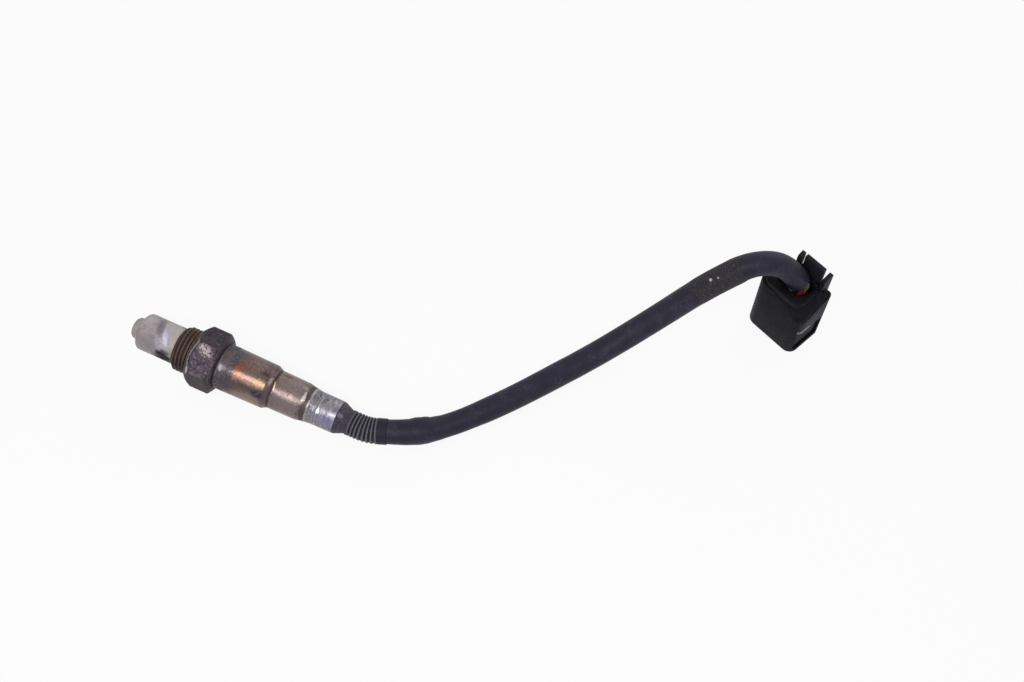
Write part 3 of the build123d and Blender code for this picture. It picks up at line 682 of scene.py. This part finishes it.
def heat_tinted_sleeve():
    """Stepped sleeve: slate, rust and taupe heat tints, painted highlights in straw, peach and pink,
    bare steel at the cable end.
    """
    f = Finish("heat_tinted_sleeve", anisotropic=0.25)
    spot = f.inside(SENSOR)
    x, a = f.unrolled(spot)
    cloud = f.noise(spot, 0.20, 5.0, 0.6, 0.6)
    fine = f.noise(spot, 0.75, 6.0, 0.72)
    grit = f.noise(spot, 1.2, 5.0, 0.70)
    streak = f.noise(f.stretched(spot, (0.35, 2.2, 2.2)), 1.0, 4.0, 0.6)
    bare_streak = f.noise(f.stretched(spot, (1.0, 0.30, 0.30)), 0.9, 5.0, 0.65)
    torn, ripple = (grit - 0.5) * 7.0, (fine - 0.5) * 7.0

    place = x + (cloud - 0.5) * 3.0 + (fine - 0.5) * 1.4
    base = f.tones((place - 16.0) / 36.0,
                   (0.0, (80, 74, 79)), (0.085, (76, 72, 80)), (0.12, (90, 75, 76)),
                   (0.19, (106, 86, 81)), (0.33, (116, 98, 91)), (0.43, (98, 82, 81)),
                   (0.50, (84, 72, 75)), (0.56, (116, 100, 95)), (0.68, (124, 109, 106)),
                   (0.83, (121, 108, 108)), (0.90, (98, 86, 86)), (1.0, (88, 76, 76)))
    base.coat(grit.ramp(0.50, 0.60) * x.ramp(34.0, 37.0, 0.45, 0.3), (68, 53, 53))
    base.coat(grit.ramp(0.47, 0.38) * 0.30, (152, 134, 127))
    dots = f.noise(spot, 1.9, 3.0, 0.6).ramp(0.54, 0.60)
    dots = dots * f.patch((29.0, 88.0), (6.0, 22.0))
    base.coat(dots * 0.7, (60, 44, 44))

    # marks on the wide part
    base.mark("blue", (18.0, 148.0), (1.3, 26.0), 0.6, (66, 66, 86), soft=0.9, ragged=ripple * 0.4)
    rust = f.patch((21.9, 95.0), (3.0, 19.0), -0.05, 1.0, torn * 0.45)
    base.coat(rust * 0.6, (118, 76, 62))
    base.mark("flame", (21.0, 101.5), (1.8, 8.0), 0.6, (140, 70, 52), -0.06, 1.0, torn * 0.7)
    # painted highlight: peach, pink and straw tints along the band where the lamp's highlight runs,
    # with a brighter core
    base.mark("peach", (22.0, 117.0), (2.8, 13.0), 0.8, (152, 114, 92), ragged=torn * 0.3)
    base.mark("blush", (26.2, 117.0), (4.4, 14.0), 0.7, (146, 115, 106), ragged=torn * 0.6)
    straw_highlight = f.patch((30.6, 116.0), (2.6, 14.0), ragged=torn * 0.3)
    base.coat(straw_highlight * 0.8, (160, 130, 104))
    highlight_core = f.patch((25.9, 113.5), (7.0, 5.5), ragged=torn * 0.5)
    highlight_core_tones = f.tones((x - 19.0) / 14.0, (0.1, (196, 158, 122)), (0.5, (186, 156, 146)),
                        (0.9, (206, 176, 132)))
    base.coat(highlight_core * 0.6, highlight_core_tones)
    base.mark("mauve", (20.8, 129.0), (1.1, 5.0), 0.7, (146, 122, 127), ragged=ripple * 0.2)
    low = f.patch((23.0, 142.0), (5.5, 16.0), soft=0.9, ragged=ripple * 0.3)
    base.coat(low * 0.7, (88, 74, 72))
    base.mark("olive", (27.5, 172.0), (7.5, 22.0), 0.6, (142, 124, 113), soft=0.8, ragged=ripple * 0.4)
    blotch = f.patch((30.8, 143.0), (3.0, 11.0), ragged=torn * 0.35)
    base.mark("trail", (26.5, 137.0), (4.5, 6.0), 0.6, (72, 60, 62), ragged=ripple * 0.5)
    base.coat(blotch * 0.9, (48, 44, 58))
    base.mark("scratch", (30.9, 142.0), (0.5, 9.0), 0.4, (114, 110, 128), -0.11, 1.0, torn * 0.3)
    base.mark("liver", (31.3, 86.0), (1.6, 5.5), 0.75, (70, 48, 48), ragged=ripple * 0.6)
    # painted shade: darker towards the upper far side of the wide part, near its outline
    shaded_far_side = a.ramp(62.0, 36.0) * x.band(17.0, 34.0, 1.5)
    base.coat(shaded_far_side * 0.35, (84, 78, 80))
    step = x.band(32.9, 34.4, 0.4)
    base.coat(step * 0.6, (88, 76, 80))
    base.mark("pink", (33.8, 98.0), (0.7, 14.0), 0.55, (196, 164, 158), ragged=torn * 0.5)

    # creases, and the narrower part between them
    crease = (x + (fine - 0.5) * 0.5).band(34.75, 35.30, 0.28)
    base.coat(crease * 0.9, (62, 44, 44))
    base.mark("glint", (35.75, 104.0), (0.32, 14.0), 0.9, (228, 202, 170), 0.03, 0.7)
    base.mark("ember", (38.6, 54.0), (1.9, 10.0), 0.6, (88, 66, 64), soft=0.9, ragged=ripple * 0.5)
    base.mark("cool", (41.0, 142.0), (6.5, 13.0), 0.55, (114, 103, 112), soft=0.9, ragged=ripple * 0.3)
    # painted highlight: warm tint on the narrow part where the lamp's highlight runs
    base.mark("warm", (42.0, 116.0), (6.0, 12.0), 0.5, (150, 134, 129), soft=0.8, ragged=torn * 0.3)
    pearl = f.patch((47.7, 100.0), (0.7, 17.0), ragged=torn * 0.7)
    second = (x + (fine - 0.5) * 1.2 + (grit - 0.5) * 2.0).band(48.2, 49.4, 0.6)
    base.coat(second * 0.85, (76, 62, 62))
    base.coat(pearl * 0.85, (206, 196, 193))

    bare = (x + (fine - 0.5) + (grit - 0.5) * 1.4).ramp(49.6, 50.2)
    steel = f.tones(bare_streak, (0.35, (104, 100, 107)), (0.5, (130, 126, 133)),
                    (0.64, (156, 152, 159)))
    steel.mark("upper", (51.9, 64.0), (1.5, 30.0), 0.6, (84, 82, 82), soft=0.9, ragged=ripple * 0.6)
    mottle = (grit + (fine - 0.5) * 0.5).ramp(0.49, 0.58) * x.band(50.5, 54.6, 1.4)
    steel.coat(mottle * 0.6, (76, 70, 74))
    turned_in = x.band(53.55, 53.85, 0.15).at_least(x.band(57.7, 57.95, 0.15)) * fine.ramp(0.38, 0.5)
    steel.coat(turned_in * 0.5, (76, 73, 82))
    polished = x.band(50.0, 50.25, 0.2).at_least(x.band(54.0, 54.2, 0.15)) * fine.ramp(0.38, 0.5)
    steel.coat(polished * 0.6, (178, 174, 180))
    nick = f.patch((50.9, 120.0), (0.5, 7.0), soft=0.6, ragged=torn * 0.4)
    dents = nick.at_least(f.patch((55.9, 69.0), (0.5, 6.0), soft=0.8, ragged=torn * 0.3))
    dents = dents.at_least(f.patch((52.8, 65.0), (0.4, 8.0), soft=0.8, ragged=torn * 0.3))
    steel.coat(dents * 0.85, (62, 52, 60))
    # painted highlight: white streak on the bare steel in the lamp's highlight band
    steel.mark("highlight_streak", (54.3, 121.0), (0.6, 12.0), 0.8, (226, 222, 228), ragged=torn * 0.6)
    steel.mark("below", (57.5, 150.0), (5.5, 16.0), 0.6, (130, 126, 146), soft=0.9)
    # painted highlight: violet speckles along the lower edge of the main highlight
    violet_highlight = f.patch((58.2, 135.0), (4.4, 10.0), ragged=torn * 0.5) * grit.ramp(0.62, 0.44)
    steel.coat(violet_highlight * 0.62, (112, 106, 176))
    steel.mark("end gleam", (60.0, 110.0), (2.0, 8.0), 0.8, (168, 163, 170), ragged=torn * 0.2)
    base.coat(bare, steel)
    base.coat(f.cells(spot, 0.9).ramp(0.14, 0.06) * (1.0 - bare) * 0.4, (66, 52, 50))
    marks = blotch * 0.12 + crease * 0.2 + second * 0.15 + low * 0.1
    rough = fine.ramp(0.3, 0.7, 0.27, 0.43) + marks
    bumps = f.bump(fine * 0.6 + grit * 0.25 + streak * 0.3 - crease * 0.8, 0.08, f.bump(cloud, 0.25))
    return f.set(base=base, rough=rough, metal=0.85, normal=bumps)


# ---- rubber, sheath and plug
def seal_silicone():
    """Silicone of the seals in the plug: brick red, with fine grain and scuffs."""
    light = (96, 40, 31)
    f = Finish("seal_rubber", specular=0.25)
    spot = f.inside(PLUG)
    cloud = f.noise(spot, 0.25, 5.0, 0.6, 0.5)
    fine = f.noise(spot, 2.6, 6.0, 0.65)
    scuff = f.noise(f.stretched(spot, (0.6, 3.0, 3.0)), 1.2, 3.0, 0.5, 1.2).ramp(0.60, 0.66)
    base = f.tones(cloud * 0.6 + fine * 0.4, (0.36, (60, 21, 15)), (0.52, (78, 29, 21)), (0.68, light))
    base.coat(scuff * 0.5, light)
    rough = fine.ramp(0.3, 0.7, 0.48, 0.68)
    bumps = f.bump(fine + scuff * 0.4, 0.05, f.bump(cloud, 0.12))
    return f.set(base=base, rough=rough, metal=0.0, normal=bumps)


def cone_rubber():
    """Sealing cone: slate, speckled and paler on top, navy beside the sleeve low down."""
    f = Finish("grommet_rubber", specular=0.25)
    spot = f.inside(SENSOR)
    x, a = f.unrolled(spot)
    fine = f.noise(spot, 1.1, 5.0, 0.7)
    speck = f.noise(spot, 1.7, 3.0, 0.6).ramp(0.56, 0.63)
    base = f.tones(fine, (0.38, (42, 37, 45)), (0.52, (64, 58, 68)), (0.66, (90, 83, 95)))
    low = a.ramp(116.0, 136.0)
    base.coat(low * 0.7, (50, 49, 65))
    pale = f.patch((62.8, 102.0), (1.2, 9.0), 0.03, 1.0, (fine - 0.5) * 6.0)
    base.coat((pale * 0.6).at_least(speck * 0.35), (142, 136, 152))
    edge = x.band(61.3, 61.75, 0.2)
    base.coat(edge * 0.7, f.mix(low, (34, 29, 35), (27, 25, 62)))
    rough = fine.ramp(0.3, 0.7, 0.46, 0.62)
    return f.set(base=base, rough=rough, metal=0.0, normal=f.bump(fine + speck * 0.4, 0.08))


def bellows_rubber():
    """Boot: painted shade near black in the grooves, dusty slate on the crests and the plain ends."""
    f = Finish("bellows_rubber", specular=0.24)
    spot = f.inside(SENSOR)
    along = f.add("ShaderNodeAttribute", {"attribute_name": "along"}).output("Fac")
    fine = f.noise(spot, 2.4, 6.0, 0.65)
    # painted shade: the grooves between the ribs near black, the crests slate
    lit_crest = ((along - RIB_FIRST) / RIB_PITCH + 0.5).zigzag().ramp(0.66, 0.18)
    base = f.mix(lit_crest, (12, 10, 18), (88, 85, 97))
    rubbed = lit_crest * fine.ramp(0.46, 0.62)
    base.coat(rubbed * 0.6, (132, 128, 138))
    front = along.ramp(1.7, 1.45)
    base.coat(front, f.mix(fine.ramp(0.4, 0.65), (50, 46, 56), (78, 73, 86)))
    # painted highlight: pale line along the edge of the plain front end
    base.coat(along.band(1.3, 1.5, 0.2) * 0.6, (112, 107, 118))
    tail = along.ramp(RIB_LAST + 0.5, RIB_LAST + 0.75)
    base.coat(tail, f.mix(fine.ramp(0.4, 0.65), (19, 16, 28), (36, 32, 51)))
    rough = fine.ramp(0.3, 0.7, 0.50, 0.66)
    return f.set(base=base, rough=rough, metal=0.0, normal=f.bump(fine, 0.05))


def cable_sheath():
    """Dark heat-proof sheath with a soft sheen, dust and an over-wrapped stretch near the plug."""
    f = Finish("cable_sheath", specular=0.24)
    along = f.add("ShaderNodeAttribute", {"attribute_name": "along"}).output("Fac")
    spoke = f.add("ShaderNodeAttribute", {"attribute_name": "round"}).output("Vector")
    across, upward = f.split(spoke)[:2]
    f.sheet = along, upward.maths("ARCTAN2", across).maths("DEGREES")
    rings = f.add("ShaderNodeCombineXYZ", sockets={2: along})
    surface = f.add("ShaderNodeVectorMath", {"operation": "MULTIPLY_ADD"},
                    {0: spoke, 1: (CABLE_R, CABLE_R, CABLE_R), 2: rings})
    cloud = f.noise(surface, 0.16, 5.0, 0.6, 0.4)
    fine = f.noise(surface, 1.5, 7.0, 0.7)
    grain = f.noise(f.stretched(surface, (2.0, 2.0, 0.5)), 1.6, 4.0, 0.6)
    base = f.tones(cloud * 0.5 + fine * 0.5, (0.36, (22, 19, 33)), (0.52, (34, 30, 49)),
                   (0.68, (50, 46, 67)))
    dust = (fine + (cloud - 0.5)).ramp(0.56, 0.74)
    base.coat(dust * 0.35, (74, 69, 74))
    wrap = along.band(*WRAP_ZONE, 1.2)
    seam = (along / 0.9 + across * 0.25).zigzag().ramp(0.80, 1.0)
    strokes = f.noise(f.stretched(surface, (0.7, 0.7, 1.8)), 0.9, 4.0, 0.65, 0.5)
    base.coat(wrap * (0.25 + fine.ramp(0.4, 0.7) * 0.4), (60, 55, 56))
    base.coat(wrap * strokes.ramp(0.53, 0.62) * 0.5, (86, 80, 82))
    base.coat(wrap * strokes.ramp(0.46, 0.38) * 0.6, (18, 15, 18))
    base.coat(wrap * seam * 0.5, (26, 23, 26))
    paint = f.patch((145.1, 86.0), (0.6, 8.0), soft=0.8, ragged=(fine - 0.5) * 4.0).at_least(
        f.patch((148.0, 78.0), (0.5, 5.0), soft=0.8, ragged=(fine - 0.5) * 4.0) * 0.6)
    base.coat(paint, (196, 192, 186))
    rough = fine.ramp(0.3, 0.7, 0.42, 0.60) + wrap * 0.12
    height = fine * 0.6 + grain * 0.4 - wrap * seam * 0.8
    return f.set(base=base, rough=rough, metal=0.0, normal=f.bump(height, 0.07, f.bump(cloud, 0.2)))


def plug_moulding(name, dark, mid, light):
    """Plug plastic: black, lighter grey on the left edge and the latch behind, scuffed grey on the
    right side, with painted shade at the side's slot and a painted highlight along its edge.
    """
    f = Finish(name, specular=0.08)
    spot = f.inside(PLUG)
    x, y, z = f.split(spot)
    f.sheet = y, z
    cloud = f.noise(spot, 0.25, 5.0, 0.6, 0.5)
    fine = f.noise(spot, 1.3, 5.0, 0.70)
    base = f.tones(cloud * 0.4 + fine * 0.6, (0.38, dark), (0.52, mid), (0.66, light))
    left = x.ramp(-7.5, -10.6) * z.ramp(27.0, 20.0)
    behind = y.ramp(3.5, 4.5) * z.ramp(29.0, 32.0)
    base.coat(left.at_least(behind) * (0.35 + fine.ramp(0.4, 0.6) * 0.3), (50, 47, 54))
    right = x.ramp(10.3, 10.7)
    scuffed = f.patch((-1.0, 18.0), (6.5, 6.0), ragged=(cloud - 0.5) * 5.0)
    base.coat(right * scuffed * (0.1 + fine.ramp(0.45, 0.58) * 0.45), (62, 61, 68))
    # painted shade: near black over the side's lower front, where the slot lies in shade
    base.coat(right * z.ramp(13.9, 13.1) * y.ramp(-7.0, -6.2) * 0.9, (5, 5, 8))
    # painted highlight: white bits along the slot's edge
    worn_and_highlit = f.patch((-3.4, 14.1), (3.6, 1.1), ragged=(fine - 0.5) * 8.0)
    base.coat(right * worn_and_highlit * 0.8, (170, 170, 176))
    rough = fine.ramp(0.3, 0.7, 0.46, 0.66)
    return f.set(base=base, rough=rough, metal=0.0, normal=f.bump(fine, 0.05, f.bump(cloud, 0.15)))


def plain_metal(name, shade, rough):
    """Clean metal of a hidden piece."""
    f = Finish(name)
    grain = f.noise(f.inside(SENSOR), 3.0, 4.0, 0.6)
    return f.set(base=f.tones(grain, (0.3, dimmed(shade, 0.8)), (0.7, shade)),
                 rough=grain.ramp(0.3, 0.7, rough, rough + 0.12), metal=1.0, normal=f.bump(grain, 0.02))


def fired_ceramic():
    """Off-white ceramic of the strip, its packing and its holder."""
    f = Finish("fired_ceramic")
    grain = f.noise(f.inside(SENSOR), 2.2, 5.0, 0.6)
    return f.set(base=f.tones(grain, (0.3, (214, 211, 200)), (0.7, (236, 234, 226))),
                 rough=grain.ramp(0.3, 0.7, 0.45, 0.6), metal=0.0, normal=f.bump(grain, 0.03))


def wire_skin(name, shade):
    """Insulation of a wire, dirty in patches."""
    f = Finish(name, specular=0.4)
    grain = f.noise(f.inside(PLUG), 1.6, 5.0, 0.6)
    base = f.mix(grain.ramp(0.5, 0.68) * 0.45, shade, dimmed(shade, 0.35))
    rough = grain.ramp(0.3, 0.7, 0.38, 0.55)
    return f.set(base=base, rough=rough, metal=0.0, normal=f.bump(grain, 0.02))


# ---- the turned pieces
def protection_tube():
    """Stepped tube with a small domed end; its outline runs from the tip, in mm behind it."""
    outer = [(0.0, TIP_HOLE_R), (0.0, 2.5, 0.6), (0.35, 3.5, 0.5), (1.05, 4.1, 0.7), (2.7, 4.5, 0.6),
             (3.95, 6.65, 0.8), (4.6, 7.2, 0.6), (5.6, TUBE_R, 0.8)]
    seated = [(TUBE_LENGTH, TUBE_R), (TUBE_LENGTH, TUBE_BORE_R)]
    inner = [(6.2, TUBE_BORE_R), (5.1, 6.6), (4.4, 6.1), (3.0, 3.8), (1.1, 3.2), (0.5, 2.4),
             (0.5, TIP_HOLE_R)]
    outline = [(TIP + point[0], *point[1:]) for point in outer + seated + inner]
    return turned("protection_tube_skin", eased(outline), ash_grey_tube())


def sensor_body():
    """Body turned in one piece, then given its thread and hexagon."""
    packing = TUBE_SEAT + 0.6
    outline = [(TUBE_SEAT, STRIP_BORE_R), (TUBE_SEAT, TUBE_R), (THREAD_FRONT, TUBE_R),
               (THREAD_FRONT, LEAD_IN_R, 0.15), (THREAD_FRONT + LEAD_IN, THREAD_R),
               (SEAT - 0.7, THREAD_R), (SEAT - 0.45, UNDERCUT_R), (SEAT + 0.3, UNDERCUT_R),
               (SEAT + 0.3, SEAT_RELIEF_R), (SEAT, SEAT_RELIEF_R), (SEAT, SEAT_RIM_R, 0.15),
               (HEX_FULL[0], HEX_CORNER_R, 0.25), (HEX_FULL[1], HEX_CORNER_R, 0.25),
               (HEX_LEN, SEAT_RIM_R, 0.25), (HEX_LEN, COLLAR_R),
               (COLLAR_END, COLLAR_R, 0.06), (COLLAR_END, SPIGOT_R), (SPIGOT_END, SPIGOT_R),
               (SPIGOT_END, PACKING_BORE_R), (packing, PACKING_BORE_R), (packing, STRIP_BORE_R)]

    def longest(p):
        """Fine steps where the thread and flats are cut, coarse ones elsewhere."""
        if p.y < 7.4 or p.x > HEX_LEN:
            return 2.0
        return 0.09 if p.x < SEAT - 0.4 else 0.25

    blank = divided(eased(outline), longest)
    blank = turned("sensor_body_skin", blank, rusty_body(), 288, Matrix.Identity(4))
    body = cut_thread_and_flats(blank)
    body.data.transform(SENSOR)
    body.data.set_sharp_from_angle(angle=math.radians(38))
    return body


def sleeve():
    """Thin sleeve that steps down twice on its way from the collar to the grommet."""
    outer = [(COLLAR_END, 8.97, 0.05), (28.0, 8.82), (32.6, 8.74, 1.2), (34.7, 7.66, 0.8),
             (35.2, 7.56, 0.2), (35.7, 7.66, 0.3), (46.4, 7.52, 0.9), (48.6, 7.02, 0.6),
             (49.2, 6.96, 0.3), (52.3, 6.52, 0.8), (60.9, 6.5, 0.3), (SLEEVE_END, 6.42, 0.1)]
    inner = [(SLEEVE_END, GROMMET_R), (52.0, GROMMET_R), (48.8, 6.2), (46.0, 6.8), (35.5, 6.92),
             (34.5, 7.0), (32.8, 7.9), (22.0, 8.1), (21.0, SPIGOT_R), (COLLAR_END, SPIGOT_R)]
    return turned("sleeve_skin", eased(outer + inner), heat_tinted_sleeve())


def cone_grommet():
    """Rubber plug in the sleeve's end, with a flange on the rim and a cone behind it."""
    flange = SLEEVE_END - 0.1
    outline = [(GROMMET_FRONT, 0.0), (GROMMET_FRONT, GROMMET_R), (flange, GROMMET_R),
               (flange, FLANGE_R, 0.1), (61.9, FLANGE_R, 0.3), (65.2, 4.95, 0.3),
               (CONE_END, CONE_END_R, 0.1), (CONE_END, 0.0)]
    return turned("grommet_skin", eased(outline), cone_rubber())


def boot():
    """Ribbed boot that leaves along the sensor's axis and bends level and sideways."""
    start = SENSOR @ Vector((CONE_END, 0, 0))
    route_start, route_next = Vector(ROUTE[0]), Vector(ROUTE[1])
    way_out = (route_next - route_start).normalized()
    end = route_start + way_out * CABLE_IN_BOOT * MM
    corner = end - way_out * BOOT_TAIL
    way_in = (corner - start).normalized()
    half = way_in.angle(way_out) / 2
    cut = BOOT_BEND_R * MM * math.tan(half)
    normal = way_in.cross(way_out).normalized()
    centre = corner - way_in * cut + normal.cross(way_in) * BOOT_BEND_R * MM
    bend_start = corner - way_in * cut
    bend_length, straight = 2 * half * BOOT_BEND_R * MM, (bend_start - start).length
    total = straight + bend_length + (end - corner).length - cut

    def at(s):
        """Middle of the boot at s metres along it."""
        if s < straight:
            return start + way_in * s
        if s < straight + bend_length:
            turn = Matrix.Rotation((s - straight) / (BOOT_BEND_R * MM), 4, normal)
            return centre + turn @ (bend_start - centre)
        return end - way_out * (total - s)

    step, lip, lip_length = 0.07 * MM, 0.35, 0.4 * MM
    count = math.ceil(total / step)
    stations = [total * k / count for k in range(count + 1)]
    radii = [(GROOVE_R - lip * max(0.0, 1 - (total - s) / lip_length) ** 2) * MM for s in stations]
    blank = tube("boot_skin", [at(s) for s in stations], radii, bellows_rubber(), 72)
    return press_bellows(blank)


# ---- the cable
def swell(s):
    """Radius of the sheath in mm at s mm along it."""
    for (low, r0), (high, r1) in zip(CABLE_SWELLS, CABLE_SWELLS[1:]):
        if s <= high:
            t = (s - low) / (high - low)
            t = t * t * (3 - 2 * t)
            return r0 + (r1 - r0) * t
    return CABLE_SWELLS[-1][1]


def cable():
    """Sheath along its route, and the route's own points."""
    line = nurbs_line(ROUTE, 32)
    centres, radii, distances, s = [], [], [], 0.0
    for before, point in zip([line[0]] + line, line):
        s += (point - before).length / MM
        centres.append(Vector((point.x, point.y, max(point.z, (swell(s) + 0.02) * MM))))
        radii.append(swell(s) * MM)
        distances.append(s)
    # rounded rim and a short way down inside the cut end, where the wires come out
    last, way = line[-1], (line[-1] - line[-2]).normalized()
    wall, depth, rim = 0.75, 1.8, 0.3
    end_r = swell(distances[-1])
    centres[-1] = last - way * rim * MM
    inward = [(0.0, -0.1 * rim), (0.0, -rim), (0.0, -wall + rim), (-rim, -wall), (-depth, -wall)]
    for back, change in inward:
        centres.append(last + way * back * MM)
        radii.append((end_r + change) * MM)
        distances.append(distances[-1])
    skin = tube("cable_skin", centres, radii, cable_sheath(), 56, distances, way_at_end=way)
    return skin, line


# ---- the plug
def moulded(node, name, material, rounding):
    """Copy of a solid of the plug with its edges rounded, as a moulding's are."""
    bm = bmesh.new()
    bm.from_mesh(frame["nodes"][node].data)
    bmesh.ops.remove_doubles(bm, verts=bm.verts, dist=1e-7)
    bmesh.ops.dissolve_limit(bm, angle_limit=math.radians(1.0), verts=bm.verts, edges=bm.edges)
    obj = new_object(name, bm, material, 30)
    bevel = obj.modifiers.new("worn edges", "BEVEL")
    bevel.width = rounding * MM
    bevel.segments = 3
    bevel.limit_method = "ANGLE"
    bevel.angle_limit = math.radians(32)
    bevel.harden_normals = False
    bevel.use_clamp_overlap = True
    made = baked(obj)
    made.data.shade_smooth()
    made.data.set_sharp_from_angle(angle=math.radians(28))
    return publish(made, node)


# ---- make it all
publish(protection_tube(), "outer_protection_tube")
publish(sensor_body(), "hex_housing")
publish(sleeve(), "protection_sleeve")
publish(cone_grommet(), "grommet")
publish(boot(), "rubber_boot")

sheath, cable_line = cable()
publish(sheath, "cable_sleeve")

plug_plastic = plug_moulding("plug_plastic", (9, 9, 15), (20, 20, 28), (39, 39, 49))
collar_plastic = plug_moulding("collar_plastic", (6, 6, 9), (12, 12, 17), (28, 28, 34))
housing = moulded("plug_housing", "plug_body", plug_plastic, 0.4)
collar = moulded("rear_cover", "plug_collar", collar_plastic, 0.3)
slide = moulded("secondary_lock", "plug_slide", plug_plastic, 0.2)

# the solids that are shown as they are
ceramic = fired_ceramic()
clean_steel = plain_metal("clean_steel", (190, 188, 184), 0.3)
nickel = plain_metal("contact_nickel", (196, 190, 172), 0.25)
seal_rubber = seal_silicone()
WIRE_SHADES = {"red": (136, 40, 42), "yellow": (134, 130, 70), "white": (200, 198, 190),
               "grey": (110, 112, 118), "black": (24, 24, 26)}
wire_finish = {name: wire_skin("wire_" + name, shade) for name, shade in WIRE_SHADES.items()}
inner = {"inner_protection_tube": clean_steel, "retaining_ring": clean_steel,
         "holder_clamp_ring": clean_steel, "wire_seal": seal_rubber, "mating_seal": seal_rubber,
         "terminal_carrier": plug_plastic}
for name, node in frame["nodes"].items():
    tint = name.rsplit("_", 1)[-1]
    if name in inner:
        finish = inner[name]
    elif "wire_" in name and tint in wire_finish:
        finish = wire_finish[tint]
    elif name.startswith(("terminal_", "contact_spring")):
        finish = nickel
    elif name in ("sensing_element", "talc_packing") or "ceramic" in name or "holder" in name:
        finish = ceramic
    else:
        continue
    node.data.materials.clear()
    node.data.materials.append(finish)

on_cable = [housing, collar, slide, "wire_seal", "terminal_carrier", "mating_seal"]
on_cable += ["terminal_%d" % k for k in range(1, 6)]
on_cable += ["plug_wire_" + tint for tint in WIRE_SHADES]


# ---- floor, light, camera
FLOOR_GLOW = 0.9                           # share of the floor that no shadow darkens
AMBIENT = 0.45                             # strength of the white room as a light
WHITE = (1.0, 1.0, 1.0, 1.0)
MIDDLE = Vector((0.06, 0.05, 0.01))
LENS, FILM_WIDTH = 43.59, 36.0
CAMERA_SPOT = Vector((0.173842, -0.163698, 0.429066))
CAMERA_WAY = Vector((-0.19305, 0.45301, -0.87036))


def looked_at(graph):
    """1 for rays that see a surface, straight or in a mirror; 0 for those that only light it."""
    rays = graph.add("ShaderNodeLightPath")
    seen = rays.output("Is Camera Ray").at_least(rays.output("Is Glossy Ray"))
    return seen.at_least(rays.output("Is Transmission Ray"))


def white_floor():
    """Pale floor that looks white and keeps the object's shadow."""
    bpy.ops.mesh.primitive_plane_add(size=6.0)
    floor = bpy.context.object
    floor.name = "floor"
    white = bpy.data.materials.new("studio_floor")
    white.use_nodes = True
    g = Graph(white.node_tree)
    g.tree.nodes.clear()
    paper = g.add("ShaderNodeBsdfDiffuse", sockets={"Color": (0.9, 0.9, 0.9, 1.0)})
    glow = g.add("ShaderNodeEmission", sockets={"Color": WHITE, "Strength": 1.0})
    both = g.add("ShaderNodeMixShader", sockets={0: looked_at(g) * FLOOR_GLOW, 1: paper, 2: glow})
    g.add("ShaderNodeOutputMaterial", sockets={"Surface": both})
    floor.data.materials.append(white)


def white_room():
    """White all round, but dimmer for the light that it sheds."""
    world = bpy.data.worlds.new("studio")
    bpy.context.scene.world = world
    world.use_nodes = True
    w = Graph(world.node_tree)
    w.tree.nodes.clear()
    strength = looked_at(w) * (1.0 - AMBIENT) + AMBIENT
    sky = w.add("ShaderNodeBackground", sockets={"Color": WHITE, "Strength": strength})
    w.add("ShaderNodeOutputWorld", sockets={"Surface": sky})


def aimed(name, data, place, way):
    """Puts a lamp or the camera at a place, looking along a way."""
    obj = bpy.data.objects.new(name, data)
    bpy.context.scene.collection.objects.link(obj)
    obj.location = place
    obj.rotation_euler = way.to_track_quat("-Z", "Y").to_euler()
    return obj


def softbox(name, place, size, power, tint=(1.0, 1.0, 1.0)):
    """Oblong lamp aimed at the middle of the object."""
    data = bpy.data.lights.new(name, "AREA")
    data.shape = "RECTANGLE"
    data.size, data.size_y = size
    data.energy = power
    data.color = tint
    aimed(name, data, place, MIDDLE - Vector(place))


white_floor()
white_room()
softbox("key", (0.10, -0.31, 0.53), (0.50, 0.20), 1.5)
softbox("far_fill", (0.25, 0.60, 0.35), (0.60, 0.25), 0.8, (0.92, 0.94, 1.0))

view = bpy.data.cameras.new("camera")
view.lens, view.sensor_width, view.sensor_fit = LENS, FILM_WIDTH, "HORIZONTAL"
view.clip_start, view.clip_end = 0.01, 20.0
bpy.context.scene.camera = aimed("camera", view, CAMERA_SPOT, CAMERA_WAY)
bpy.context.scene.view_settings.view_transform = "Standard"
